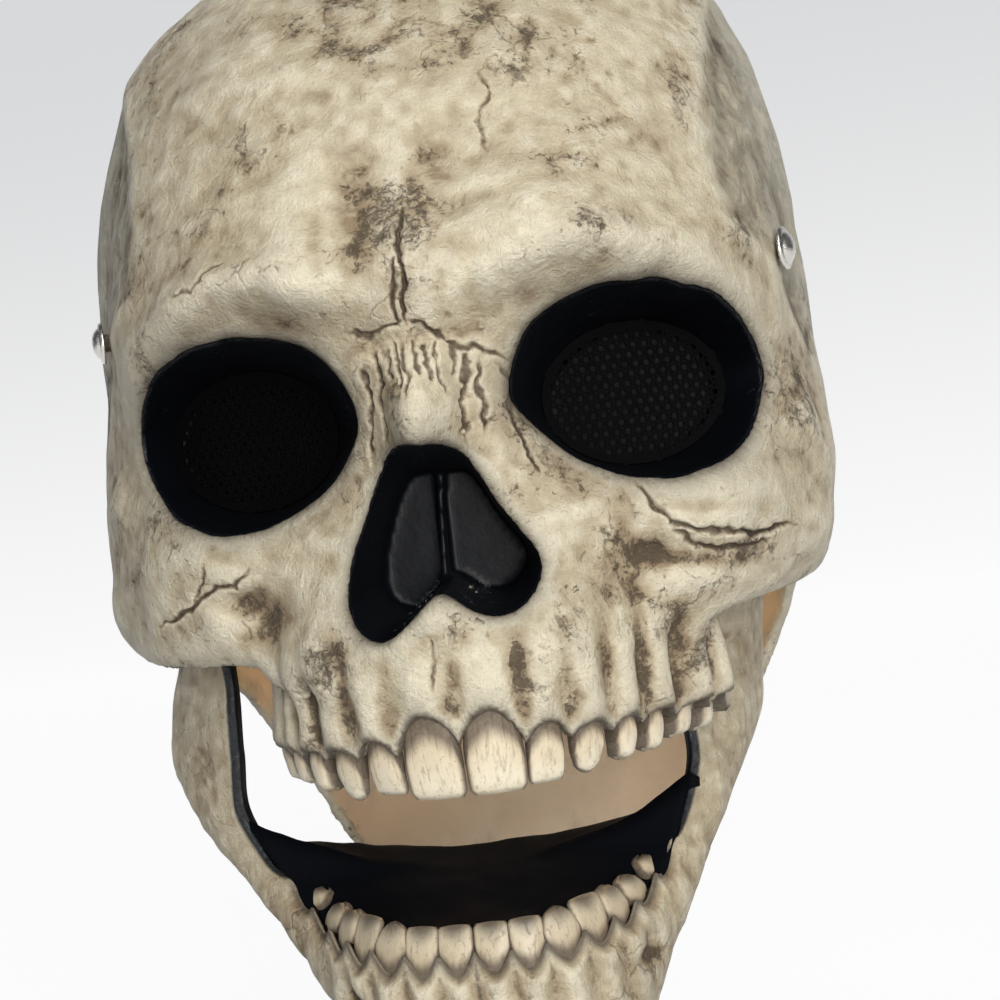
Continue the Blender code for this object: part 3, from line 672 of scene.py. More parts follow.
def carve_lines(points, wander):
    """How deep the cracks are at each point, and how dark they are painted."""
    x, z = points[:, 0] + wander[0], points[:, 2] + wander[1]
    depth, dark = np.zeros(len(points)), np.zeros(len(points))
    narrow = 0.55 + 0.30 * rough(points, 2.4, 16)
    for line, strength in CRACKS.values():
        d, along = to_line(x, z, line)
        fade = np.clip(np.sin(np.pi * np.clip(along, 0.0, 1.0)) * 2.2 + 0.25, 0, 1)
        depth = np.maximum(depth, strength * fade * np.exp(-(d / narrow) ** 2))
        dark = np.maximum(dark,
                          min(1.0, 0.35 + strength) * fade * np.exp(-(d / (1.25 * narrow)) ** 2))
    return depth, dark


def place_skull():
    """Reads the skull again, with its depth under the form and its distance to the openings."""
    points, normals = arrays_of(skull)
    return points, normals, -sample(form, points), sample(cups, points), sample(pocket, points)


points, normals, depth, to_cup, to_pocket = place_skull()
outside = (1 - step(depth, 0.9, 2.2)) * step(to_cup, -0.5, 2.5) * step(to_pocket, -0.5, 2.0)
front = outside * (1 - step(points[:, 1], 44, 62))
wander = (0.9 * rough(points, 3.1, 5) + 0.35 * rough(points, 1.2, 14),
          0.9 * rough(points, 3.3, 6) + 0.35 * rough(points, 1.3, 15))
groove, crack = carve_lines(points, wander)
lumps = 0.75 * rough(points, 19.0, 1) + 0.42 * rough(points, 8.0, 2) + 0.20 * rough(points, 3.6, 3)
pits = 0.5 * np.clip(rough(points, 2.9, 4) - 0.42, 0, 1) * step(rough(points, 26.0, 7), -0.1, 0.5)
rows = np.abs(points[:, 0]) < 46
flutes = 0.22 * rough(points * (1.0, 1.0, 0.22), 2.6, 8) * step(-points[:, 2], 62, 72) * rows
move = outside * (lumps - pits) + front * (flutes - groove * 1.15)
skull.data.vertices.foreach_set("co", to_frame(points + normals * move[:, None]).ravel())
skull.data.update()
print("carved; deepest groove", round(float((groove * front).max()), 2), "mm")

# %% [markdown]
# Antique paint is brushed on dark and wiped off, so it stays in hollows and leaves ridges pale.
# The hollows are found by smoothing the mesh and measuring how far each point lies below its own
# smoothed place, at three sizes. The largest size also darkens the broad hollows as painted shade.
# Black paint, stains and bare latex are masks of their own.

# %% Painted values of the skull
def hollows(obj, rounds):
    """How far each point lies under its smoothed surroundings, for each count of rounds."""
    points, normals = arrays_of(obj)
    edges = np.empty(len(obj.data.edges) * 2, dtype=int)
    obj.data.edges.foreach_get("vertices", edges)
    edges = edges.reshape(-1, 2)
    ends, others = np.concatenate([edges[:, 0], edges[:, 1]]), np.concatenate([edges[:, 1],
                                                                               edges[:, 0]])
    count = np.maximum(np.bincount(ends, minlength=len(points)), 1)
    soft, results = points.copy(), []
    for turn in range(1, max(rounds) + 1):
        soft = np.stack([np.bincount(ends, soft[others, k], len(points)) for k in range(3)],
                        -1) / count[:, None]
        if turn in rounds:
            results.append(((soft - points) * normals).sum(1))
    return results


def store(obj, **values):
    for label, value in values.items():
        layer = obj.data.attributes.new(label, "FLOAT", "POINT")
        layer.data.foreach_set("value", np.asarray(value, dtype=np.float32))


points, normals, depth, to_cup, to_pocket = place_skull()
small, middle, large = hollows(skull, (3, 16, 90))
x, y, z = points.T
edge_noise = 0.9 * rough(points, 4.0, 11) + 0.5 * rough(points, 1.7, 12)
in_cup = (1 - step(to_cup + edge_noise * 0.5, 0.3, 2.0)) * step(depth, 0.15, 1.8) * (y < 50)
in_pocket = (1 - step(to_pocket + edge_noise * 0.4, 0.3, 1.6)) * step(depth, 0.3, 1.6) * (y < 24)
# Dark rings that fade out from the sockets and nose: airbrushed paint and painted shade where the
# surface falls away into them.
around_cup = np.exp(-np.clip(to_cup, 0, 60) / 3.8) * (y < 60)
around_nose = np.exp(-np.clip(to_pocket, 0, 60) / 3.0) * (y < 24)
behind = y - np.interp(z, TEMPLE_LINE[:, 0], TEMPLE_LINE[:, 1])
# The temple hollows behind the temple line: grey-green paint together with painted shade.
temple = step(behind, -3.0, 9.0) * (1 - step(y, 66, 108)) * step(z, -24, 6) * (1 - step(z, 86, 100))
temple *= step(np.abs(x), 50, 62)
bare = step(depth, 1.5, 2.4) * step(to_cup, 1.2, 2.4) * step(to_pocket, 1.2, 2.4)
under = gum_line(x, y) + 0.3 * rough(points, 2.0, 13) - z
gum = 1.15 * np.exp(-(np.clip(np.abs(under + 0.5), 0, 9) / 0.9)
                    ** 2) + 0.42 * np.exp(-(np.clip(-under, 0, 20) / 3.6) ** 2)
gum = gum * (arch_form(x, y, z) > -2.5) * (y < 50) * (z < -74)
SKULL_STAINS = (
    # place across and up, spread, strength
    ((0, 10), (9, 13), 0.9), ((2, 30), (6, 10), 0.45), ((-32, 18), (10, 5), 0.4),
    ((58, -55), (12, 3.4), 1.0),
    ((45.5, -54), (5, 3.2), 0.8), ((-42, -57), (4.5, 4), 0.75), ((-62, -58.5), (6, 4), 0.6),
    ((-54, -50), (9, 4), 0.45), ((31, -70), (6, 11), 0.35), ((-28, -70), (6, 10), 0.35),
    ((26, 70), (9, 26), 0.80), ((-14, 80), (18, 9), 0.65), ((-34, 52), (14, 6), 0.45),
    ((42, 58), (10, 18), 0.45),
    ((8, 60), (7, 7), 0.5), ((43, 19), (9, 3.6), 0.9), ((-26, 8), (8, 4), 0.6),
    ((-50, 20), (8, 4), 0.45), ((60, 40), (9, 16), 0.5), ((-64, 30), (12, 20), 0.5),
    ((84, -30), (10, 18), 0.45),
    ((-84, -38), (10, 22), 0.5), ((-70, -66), (12, 4), 0.5), ((74, -66), (12, 4), 0.45),
    ((52, -74), (8, 9), 0.6),
    ((44, -86), (10, 8), 0.5), ((-36, -84), (7, 8), 0.35), ((13, -8), (4, 8), 0.5),
    ((21, -24), (4, 9), 0.4),
    ((-12, -12), (4, 10), 0.5), ((0, -75), (5, 9), 0.3), ((74, -20), (8, 16), 0.3),
    ((70, 20), (12, 8), 0.4),
)
stain = np.zeros(len(points))
for row in SKULL_STAINS:
    stain = np.maximum(stain, dab(x, z, *row))
stain *= y < 70
# broad: the large hollows, darkened in the finish as painted shade along with the brown paint.
store(skull, hollow=np.tanh(small * 4.0 + middle * 1.1), broad=np.tanh(large * 0.5),
      crack=np.clip(crack * (y < 40) * (1 - bare), 0, 1), stain=stain, temple=temple, bare=bare,
      black=np.clip(np.maximum(in_cup, in_pocket), 0, 1),
      halo=np.clip(np.maximum(around_cup, around_nose), 0, 1),
      gum=np.clip(gum, 0, 1))
print("painted the skull:", len(points), "points")

# %% [markdown]
# The jaw is a sheet that runs from one temple to the other, under the chin on the way. It's
# described by thirteen stations a side. Each station has a lower border and an upper border,
# given across, back and down, and the sheet swells a little between the two.

# %% The jaw as a sheet of stations
STATIONS = np.array([
    (0, .13, 1, 0, .11, .745, .9), (.15, .15, 1, .16, .13, .745, .8),
    (.275, .28, .97, .3, .25, .742, .5),
    (.38, .52, .905, .42, .46, .735, .35), (.495, .84, .82, .52, .76, .712, .35),
    (.64, 1.16, .732, .62, .98, .655, .4), (.81, 1.48, .64, .7, 1.03, .58, .55),
    (.955, 1.8, .545, .70, 1, .505, .8), (.97, 1.96, .43, .72, .99, .415, .8),
    (.975, 1.94, .29, .82, 1.08, .29, .6), (.99, 1.78, .15, .95, 1.18, .15, .35),
    (1.015, 1.45, .035, .975, 1.14, .035, .15), (1.0, 1.2, -.04, .955, .92, -.04, 0),
])
HINGE = np.array([0.0, 47.6, 13.5])
HINGE_HALF = 84.1
JAW_HALF, JAW_DROP, JAW_WALL = 82.0, 187.0, 3.0


def jaw_place(across, back, down):
    lean = smooth(down, (-0.3, 0.1, 0.22, 0.52, 0.62, 0.75, 0.9, 1.05),
                  (0, 0, 0.3, 8.8, 8.4, 5.0, 2.6, 1.5))
    half = JAW_HALF + (HINGE_HALF - 4.8 - JAW_HALF) * np.clip(1 - down / 0.45, 0, 1)
    return np.stack([across * half - lean, back * HINGE[1], -down * JAW_DROP], -1)


def station(place, column):
    """A column of the table at any place along the jaw, the same on both sides."""
    values = STATIONS[:, column]
    sign = np.where(place < 0, -1.0, 1.0) if column in (0, 3) else 1.0
    return sign * smooth(np.abs(place), np.arange(len(values)), values)


# How far the photographed jaw swells beyond its tidy form, in mm, from the left end to the right
UNEVEN = (0, 0, 1, 4, 9, 9, 8, 6, 4, 2, 1, 0, 0, 0, 1, 1.5, 2, 2.5, 2.5, 1.5, 1, 1, 0.5, 0, 0)
# How far back the front border of each arm stands, in mm, so that it clears the upper teeth
DRAWN_BACK = (0, 0, 1, 2, 3, 3, 1, 0, 0, 0, 0, 0, 0, 0, 0, 0, 0, 1, 5, 8, 8, 6, 2, 0, 0)


def jaw_skin(place, t):
    """The jaw's outer face. The place runs along the stations, and t from lower to upper border."""
    low = jaw_place(*(station(place, k) for k in (0, 1, 2)))
    high = jaw_place(*(station(place, k) for k in (3, 4, 5)))
    high[:, 1] += np.interp(place, np.arange(-12, 13), DRAWN_BACK)
    spot = low + (high - low) * t[:, None]
    side = np.stack([spot[:, 0], spot[:, 1] - HINGE[1] * 1.2, np.zeros(len(t))], -1)
    side /= np.linalg.norm(side, axis=1)[:, None]
    swell = 4.0 * station(place, 6) + np.interp(place, np.arange(-12, 13), UNEVEN)
    return spot + side * (swell * np.sin(np.pi * t))[:, None]


LOWER = (0.125, 0.125, 0.150, 0.145, 0.145, 0.160, 0.145)
LOWER_SPAN = 4.6
gum_places = np.linspace(0.0, LOWER_SPAN, 400)
gum_route = jaw_skin(gum_places, np.ones(400))
gum_length = np.concatenate([[0], np.cumsum(np.linalg.norm(np.diff(gum_route, axis=0), axis=1))])
print("half of the lower gum line:", round(float(gum_length[-1]), 1), "mm")

# %% [markdown]
# Under each lower tooth the jaw has a root ridge, with a furrow between each pair, and the border
# rises between the teeth in small points. The chin carries a low boss with a dimple above it on
# each side, where nerve holes open in a real jaw.

# %% Mould the jaw
ROWS, COLUMNS = ((400, 64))
place = np.repeat(np.linspace(-12.0, 12.0, ROWS + 1), COLUMNS + 1)
t = np.tile(np.linspace(0.0, 1.0, COLUMNS + 1) ** 0.9, ROWS + 1)
share = np.interp(np.abs(place), gum_places, gum_length) / gum_length[-1]
_, phase = tooth_phase(share, LOWER)
in_teeth = 1 - step(np.abs(place), LOWER_SPAN - 0.2, LOWER_SPAN + 0.35)
skin = jaw_skin(place, t)
along = skin.reshape(ROWS + 1, COLUMNS + 1, 3)
normal = np.cross(np.gradient(along, axis=0), np.gradient(along, axis=1)).reshape(-1, 3)
normal /= np.maximum(np.linalg.norm(normal, axis=1), 1e-9)[:, None]
down_from_gum = np.linalg.norm(skin - jaw_skin(place, np.ones(len(t))), axis=1)
height = np.linalg.norm(jaw_skin(place, np.zeros(len(t))) - jaw_skin(place, np.ones(len(t))),
                        axis=1)
inner_room = np.minimum(t * height, down_from_gum)
border = step(inner_room, 0.0, 5.0)
front_teeth = 1 - 0.75 * step(np.abs(place), 2.0, 3.4)
roots = 1.1 * np.cos(np.pi * phase) * in_teeth * (1 - step(down_from_gum, 9, 24)) * front_teeth
NERVE_HOLES = ((-36.0, -148.0), (33.5, -147.0))
JAW_DABS = (
    ((-9, -172), (13, 10), 3.6, 0), ((-24, -176), (9, 9), 2.0, -15), ((9, -176), (9, 9), 2.0, 15),
    ((-9, -152), (15, 6), -1.8, 0), ((-30, -162), (10, 8), -1.2, 0), ((15, -162), (10, 8), -1.2, 0),
)
facing = step(-normal[:, 1], 0.1, 0.6)
lift = sum(dab(skin[:, 0], skin[:, 2], *row) for row in JAW_DABS) * facing
for hole in NERVE_HOLES:
    lift -= 2.6 * np.exp(-(np.hypot(skin[:, 0] - hole[0], skin[:, 2] - hole[1]) / 2.6)
                         ** 2) * facing
ramus = step(np.abs(place), 5.5, 7.5)
grain = rough(skin * (1.0, 1.0, 0.3), 4.2, 21) * 0.32 * ramus + rough(skin * (1, 1, 0.3), 2.4,
                                                                      24) * 0.18
lift += (roots * 0.85 + grain) * border + 0.5 * rough(skin, 14.0, 22) * border + 0.2 * rough(skin,
    5.5, 23)
lift -= 0.8 * np.exp(-((down_from_gum - 1.6) / 1.3) ** 2) * in_teeth
points_up = (5.4 * np.clip(np.abs(phase), 0, 1) ** 1.7
             - 1.6) * in_teeth * np.exp(-down_from_gum / 4.5)
points_up *= 1 - 0.4 * step(np.abs(place), 2.4, 3.8)
outer_skin = skin + normal * (lift + 0.25 * rough(skin, 2.6, 25) * border)[:,
    None] + np.stack([0 * t, 0 * t, points_up], -1)
inner_skin = skin - normal * JAW_WALL + np.stack([0 * t, 0 * t, points_up * 0.6], -1)
outer_skin -= normal * (0.9 * (1 - step(inner_room, 0.0, 1.8)))[:, None]


def closed_sheet(front, back, rows, columns):
    """Points and faces of a thick sheet from its two sides, closed around the border."""
    size = len(front)
    grid = np.arange(size).reshape(rows + 1, columns + 1)
    quad = np.stack([grid[:-1, :-1], grid[1:, :-1], grid[1:, 1:], grid[:-1, 1:]], -1).reshape(-1, 4)
    ring = np.concatenate([grid[:, 0], grid[-1, 1:], grid[-2::-1, -1], grid[0, -2:0:-1]])
    after = np.roll(ring, -1)
    wall = np.stack([after, ring, ring + size, after + size], -1)
    return np.concatenate([front, back]), np.concatenate([quad, quad[:, ::-1] + size, wall])


jaw_points, jaw_faces = closed_sheet(outer_skin, inner_skin, ROWS, COLUMNS)
jaw = mesh_object("jaw_visual", jaw_points, jaw_faces.tolist())
small, middle, large = hollows(jaw, (3, 14, 60))
spots = jaw_points
outer_side = np.concatenate([np.ones(len(skin)), np.zeros(len(skin))])
def both(values):
    """The same values for the outer and for the inner skin."""
    return np.concatenate([values, values])


gum_dark = np.exp(-(np.clip(np.abs(both(down_from_gum) - 0.4), 0, 9) / 1.3) ** 2) * both(in_teeth)
furrow = np.clip(both(np.abs(phase) - 0.72) / 0.28, 0,
                 1) * both(in_teeth * (1 - step(down_from_gum, 5, 16)))
JAW_STAINS = (((-36, -148), (4, 3.6), 1.0), ((33.5, -147), (4, 3.6), 1.0),
              ((-9, -152), (16, 5), 0.4),
              ((-46, -140), (9, 12), 0.4), ((36, -146), (9, 12), 0.4), ((-9, -186), (26, 6), 0.35))
stain = np.zeros(len(spots))
for row in JAW_STAINS:
    stain = np.maximum(stain, dab(spots[:, 0], spots[:, 2], *row) * (spots[:, 1] < 60))
inner_edge = np.exp(-((1 - both(t)) * both(height) / 1.3)) * both(step(np.abs(place), 4.4, 5.2))
furrow *= both(front_teeth)
# On the jaw too, the broad hollows are darkened as painted shade.
store(jaw, hollow=np.tanh(small * 2.6 + middle * 0.8), broad=np.tanh(large * 0.3),
      crack=np.clip(furrow * 0.7, 0, 1), stain=stain, temple=0 * stain, bare=1 - outer_side,
      black=np.clip(inner_edge * 1.3 + (1 - outer_side), 0, 1), halo=inner_edge,
      gum=np.clip(gum_dark, 0, 1))
print("jaw:", triangles(jaw), "triangles", jaw_points.min(0).round(1), jaw_points.max(0).round(1))

# %% [markdown]
# Behind the lower teeth lies a floor of glossy black latex. It's part of the jaw's moulding,
# rises towards the arms and ends in a free edge at the back.

# %% The floor of the mouth
def floor_edge(back):
    edge = [tuple(row[3:6]) for row in STATIONS[:7]] + [tuple(STATIONS[6][0:3])]
    backs = np.maximum.accumulate([row[1] for row in edge]) + np.arange(len(edge)) * 1e-6
    return (np.interp(back, backs, [row[0] for row in edge]),
            np.interp(back, backs, [row[2] for row in edge]))


FLOOR_ROWS, FLOOR_COLUMNS = 36, 60
k, s = (v.ravel() for v in np.meshgrid(np.linspace(0, 6, FLOOR_ROWS + 1),
                                       np.linspace(-6, 6, FLOOR_COLUMNS + 1),
                                       indexing="ij"))
back = STATIONS[0][4] + (2.0 + 52.0 * k / 6) / HINGE[1]
across, level = floor_edge(back)
middle_level = 0.755 - 0.080 * k / 6
down = middle_level + (level + 0.02 - middle_level) * (s / 6) ** 2
floor_top = jaw_place((across - 3.0 / 164.0) * s / 6, back, down)
floor_top[:, 2] += 0.9 * rough(floor_top, 15.0, 31) + 0.3 * rough(floor_top, 5.0, 32)
floor_points, floor_faces = closed_sheet(floor_top + (0, 0, 1.2), floor_top - (0, 0, 1.2),
                                         FLOOR_ROWS,
                                         FLOOR_COLUMNS)
mouth_floor = mesh_object("mouth_floor", floor_points, floor_faces[:, ::-1].tolist())
print("floor of the mouth:", triangles(mouth_floor), "triangles")

# %% [markdown]
# Each tooth is a small loft from root to tip. Its section is a rounded box that narrows at the
# neck, swells at the crown and thins to the bite. Front teeth end in a blunt edge, eye teeth in a
# point and back teeth in a broad cusp. Small fixed differences keep the row from looking cut.

# %% One tooth
TOOTH_ROWS, TOOTH_SIDES = 18, 28
KINDS = {"incisor": (0.97, 0.34, 0.22), "canine": (0.74, 0.42, 1.5), "molar": (0.80, 0.85, 1.2)}


def tooth(foot, tip, ahead, width, deep, kind, slim, seed):
    """Points, faces and paint of a tooth. Its foot is at the gum's middle and it faces ahead."""
    chance = np.random.default_rng(seed)
    tip_width, tip_deep, drop = KINDS[kind]
    down = tip - foot
    length = np.linalg.norm(down)
    down = down / length
    ahead = ahead - down * np.dot(ahead, down)
    ahead /= np.linalg.norm(ahead)
    side = np.cross(ahead, down)
    skew = chance.uniform(-0.05, 0.05)
    turn = np.linspace(0, 2 * np.pi, TOOTH_SIDES, endpoint=False)
    u = np.sign(np.cos(turn)) * np.abs(np.cos(turn)) ** 0.72
    v = np.sign(np.sin(turn)) * np.abs(np.sin(turn)) ** 0.72
    points, paint_neck, paint_side = [], [], []
    for row in range(TOOTH_ROWS + 1):
        t = row / TOOTH_ROWS
        swell = slim + (1 - slim) * math.sin(math.pi / 2 * min(1.0, t / 0.66))
        w = width / 2 * swell * (1 + (tip_width - 1) * step(t, 0.60, 1.0))
        d = deep / 2 * (1 + (tip_deep - 1) * t ** 1.3)
        rounding = math.sqrt(max(0.0, 1 - max(0.0, (t - 0.90) / 0.10) ** 2))
        w, d = w * (0.84 + 0.16 * rounding), d * (0.35 + 0.65 * rounding)
        belly = 0.9 * math.sin(math.pi * min(1.0, t)) - 1.3 * t * t
        ridge = 0.16 * np.cos(3 * np.pi * u + seed) * np.clip(v, 0, 1) * math.sin(math.pi * t)
        fall = length * t - drop * np.abs(u) ** 1.7 * step(t, 0.6, 1.0)
        shift = side * (skew * length * t)
        points.append(foot + shift + side * (u * w)[:, None]
                      + ahead * (v * d + belly + ridge)[:, None]
                      + down * np.broadcast_to(fall, u.shape)[:, None])
        paint_neck.append(t - 0.22 * np.abs(u) ** 1.6)
        paint_side.append(np.clip(np.abs(u), 0, 1) * (v > -0.2) + (v <= -0.2))
    centre = (points[0].mean(0), points[-1].mean(0) + down * 0.15)
    points = np.concatenate(points + [[centre[0]], [centre[1]]])
    neck = np.concatenate(paint_neck + [[0.0], [1.0]])
    flank = np.concatenate(paint_side + [[0.0], [0.3]])
    faces = []
    for row in range(TOOTH_ROWS):
        for k in range(TOOTH_SIDES):
            a, b = row * TOOTH_SIDES + k, row * TOOTH_SIDES + (k + 1) % TOOTH_SIDES
            faces.append((a, b, b + TOOTH_SIDES, a + TOOTH_SIDES))
    last = TOOTH_ROWS * TOOTH_SIDES
    for k in range(TOOTH_SIDES):
        following = (k + 1) % TOOTH_SIDES
        faces.append((following, k, len(points) - 2))
        faces.append((last + k, last + following, len(points) - 1))
    return points, faces, neck, flank


def tooth_row(name, teeth, slim):
    """All teeth of a jaw as one object, each a closed body of its own."""
    points, faces, necks, flanks, tones, count = [], [], [], [], [], 0
    for number, (foot, tip, ahead, width, deep, kind) in enumerate(teeth):
        p, f, neck, flank = tooth(foot, tip, ahead, width, deep, kind, slim, 40 + number)
        points.append(p)
        faces += [tuple(i + count for i in face) for face in f]
        necks.append(neck)
        flanks.append(flank)
        tones.append(np.full(len(p), (number * 0.37) % 1.0))
        count += len(p)
    values = {"neck": np.concatenate(necks), "flank": np.concatenate(flanks),
              "tone": np.concatenate(tones)}
    return mesh_object(name, np.concatenate(points), faces, values)


def outward(obj):
    shape = bmesh.new()
    shape.from_mesh(obj.data)
    bmesh.ops.recalc_face_normals(shape, faces=shape.faces)
    shape.to_mesh(obj.data)
    shape.free()
    return obj


print("a tooth has", TOOTH_ROWS * TOOTH_SIDES * 2 + TOOTH_SIDES * 2, "triangles")

# %% [markdown]
# The upper teeth stand along the horseshoe of the upper jaw and come out from under its scalloped
# gum. The lower teeth stand on the jaw's upper border and lean a little forwards.

# %% Both rows of teeth
UPPER_KINDS = ("incisor", "incisor", "canine", "molar", "molar", "molar", "molar")
UPPER_WIDTHS = (12.9, 8.6, 8.6, 6.6, 6.6, 8.0, 7.4)
UPPER_DEEP = (6.2, 5.6, 6.4, 7.0, 7.4, 8.0, 8.0)


def arch_place(share, z, inset):
    turn = share * 0.45 * math.pi
    out = np.array([math.sin(turn) / 51.5, -math.cos(turn) / 62.0, 0.0])
    out /= np.linalg.norm(out)
    place = np.array([51.5 * math.sin(turn), ARCH_BACK - 62.0 * math.cos(turn), z])
    return place - out * inset, out


def flared(point):
    """The right end of the row flares outwards: the opposite of drawing it in."""
    x = point[0]
    for _ in range(4):
        x = point[0] / (1 - 0.15 * step(x, 34.0, 62.0))
    return np.array([x, point[1], point[2]])


upper_teeth = []
for side in (-1, 1):
    edges = np.concatenate([[0.0], np.cumsum(UPPER)])
    for k, kind in enumerate(UPPER_KINDS):
        share = (edges[k] + edges[k + 1]) / 2
        foot, out = arch_place(share, UPPER_GUM[k] + 4.5, 5.4)
        tip, _ = arch_place(share, UPPER_TIP[k] + (0.8 if (k + side) % 3 == 0 else 0.0), 3.3)
        flip = np.array([side, 1, 1])
        upper_teeth.append((flared(foot * flip), flared(tip * flip), out * flip, UPPER_WIDTHS[k],
                            UPPER_DEEP[k], kind))
upper_row = outward(tooth_row("upper_teeth", upper_teeth, 0.60))

LOWER_KINDS = ("incisor", "incisor", "canine", "incisor", "molar", "molar", "molar")
LOWER_TALL = (8.2, 8.4, 9.0, 8.6, 7.4, 4.8, 2.4)
lower_teeth = []
for side in (-1, 1):
    edges = np.concatenate([[0.0], np.cumsum(LOWER)])
    for k, kind in enumerate(LOWER_KINDS):
        share = (edges[k] + edges[k + 1]) / 2
        at = np.interp(share * gum_length[-1], gum_length, gum_places)
        near = jaw_skin(side * np.array([at - 0.05, at, at + 0.05]), np.ones(3))
        run = (near[2] - near[0]) * side
        out = np.cross(run, (0, 0, 1.0))
        out /= np.linalg.norm(out)
        width = LOWER[k] * gum_length[-1] * 1.0
        inset = 1.2 * float(step(k, 1.5, 4.5))
        foot = near[1] - out * (3.6 + inset) - (0, 0, 5.4)
        tip = near[1] - out * (4.6 + inset) + (0, 0, LOWER_TALL[k])
        lower_teeth.append((foot, tip, out, width, 4.6, kind))
lower_row = outward(tooth_row("lower_teeth", lower_teeth, 0.42))
print("teeth:", triangles(upper_row) + triangles(lower_row), "triangles")

# %% [markdown]
# The eyes are closed by black perforated sheet. A Geometry Nodes tree lays rows of points, every
# other row shifted by half a step, and keeps those inside the ellipse. It then puts a six-sided
# cell with a round hole at each of them.

# %% Perforated sheet for the eyes
HOLE_STEP, HOLE, SHEET = 2.6, 0.72, 0.7


def hole_cell():
    """A six-sided plate with a round hole, in metres, pointing along Z."""
    turns = [2 * math.pi * k / 12 + math.pi / 12 for k in range(12)]
    reach = HOLE_STEP / 2 / 1000
    rim, hole = [], []
    for turn in turns:
        wedge = (turn + math.pi / 6) % (math.pi / 3) - math.pi / 6
        far = reach / math.cos(wedge)
        rim.append((far * math.cos(turn), far * math.sin(turn)))
        hole.append((HOLE / 1000 * math.cos(turn), HOLE / 1000 * math.sin(turn)))
    half = SHEET / 2000
    points = [(x, y, z) for z in (half, -half) for ring in (rim, hole) for x, y in ring]
    faces = []
    for k in range(12):
        n = (k + 1) % 12
        faces += [(k, n, 12 + n, 12 + k), (24 + n, 24 + k, 36 + k, 36 + n)]
        faces += [(n, k, 24 + k, 24 + n), (12 + k, 12 + n, 36 + n, 36 + k)]
    mesh = bpy.data.meshes.new("hole_cell")
    mesh.from_pydata(points, [], faces)
    made = bpy.data.objects.new("hole_cell", mesh)
    bpy.context.scene.collection.objects.link(made)
    return outward(made)


def perforation_tree(cell, finish):
    """Points in staggered rows inside an ellipse, with the cell set on each of them."""
    tree = bpy.data.node_groups.new("perforation", "GeometryNodeTree")
    for label, kind in (("Half width", "NodeSocketFloat"), ("Half height", "NodeSocketFloat")):
        tree.interface.new_socket(label, in_out="INPUT", socket_type=kind)
    tree.interface.new_socket("Geometry", in_out="OUTPUT", socket_type="NodeSocketGeometry")
    given = tree.nodes.new("NodeGroupInput")
    given = {socket.name: socket for socket in given.outputs}

    def node(kind, settings, links):
        made = tree.nodes.new(kind)
        for key, value in settings.items():
            setattr(made, key, value)
        for key, value in links.items():
            if hasattr(value, "is_linked"):
                tree.links.new(value, made.inputs[key])
            else:
                made.inputs[key].default_value = value
        return made

    def maths(operation, a, b=0.0):
        return node("ShaderNodeMath", {"operation": operation}, {0: a, 1: b}).outputs[0]

    across = HOLE_STEP / 1000
    rise = across * math.sqrt(3) / 2
    columns, rows = 23, 19
    grid = node("GeometryNodeMeshGrid", {},
                {"Size X": across * (columns - 1), "Size Y": rise * (rows - 1),
                                             "Vertices X": columns, "Vertices Y": rows})
    place = node("ShaderNodeSeparateXYZ", {},
                 {0: node("GeometryNodeInputPosition", {}, {}).outputs[0]})
    row = maths("ROUND", maths("DIVIDE", place.outputs[1], rise))
    odd = maths("PINGPONG", row, 1.0)
    shift = node("ShaderNodeCombineXYZ", {}, {0: maths("MULTIPLY", odd, across / 2)})
    moved = node("GeometryNodeSetPosition", {},
                 {"Geometry": grid.outputs[0], "Offset": shift.outputs[0]})
    place = node("ShaderNodeSeparateXYZ", {},
                 {0: node("GeometryNodeInputPosition", {}, {}).outputs[0]})
    u = maths("DIVIDE", place.outputs[0], given["Half width"])
    v = maths("DIVIDE", place.outputs[1], given["Half height"])
    ratio = maths("ADD", maths("MULTIPLY", u, u), maths("MULTIPLY", v, v))
    cut = node("GeometryNodeDeleteGeometry", {}, {"Geometry": moved.outputs[0],
                                                  "Selection": maths("GREATER_THAN", ratio, 1.0)})
    shape = node("GeometryNodeObjectInfo", {}, {"Object": cell})
    set_on = node("GeometryNodeInstanceOnPoints", {}, {"Points": cut.outputs[0],
                                                       "Instance": shape.outputs["Geometry"]})
    real = node("GeometryNodeRealizeInstances", {}, {"Geometry": set_on.outputs[0]})
    finished = node("GeometryNodeSetMaterial", {},
                    {"Geometry": real.outputs[0], "Material": finish})
    out = tree.nodes.new("NodeGroupOutput")
    tree.links.new(finished.outputs[0], out.inputs[0])
    return tree


def ring_band(half_width, half_height, inner, outer, low, high, sides=72):
    """A flat elliptical ring with a square section, in millimetres."""
    points, faces = [], []
    for k in range(sides):
        turn = 2 * math.pi * k / sides
        c, s = math.cos(turn), math.sin(turn)
        for grow, z in ((inner, low), (outer, low), (outer, high), (inner, high)):
            points.append(((half_width + grow) * c, (half_height + grow) * s, z))
        n = (k + 1) % sides
        for a in range(4):
            b = (a + 1) % 4
            faces.append((k * 4 + a, n * 4 + a, n * 4 + b, k * 4 + b))
    return points, faces


print("holes every", HOLE_STEP, "mm")

# %% [markdown]
# The finishes are small programs. A wire stands for a number or a colour on its way through the
# node tree, and can be added, multiplied and compared like a number in a sum.

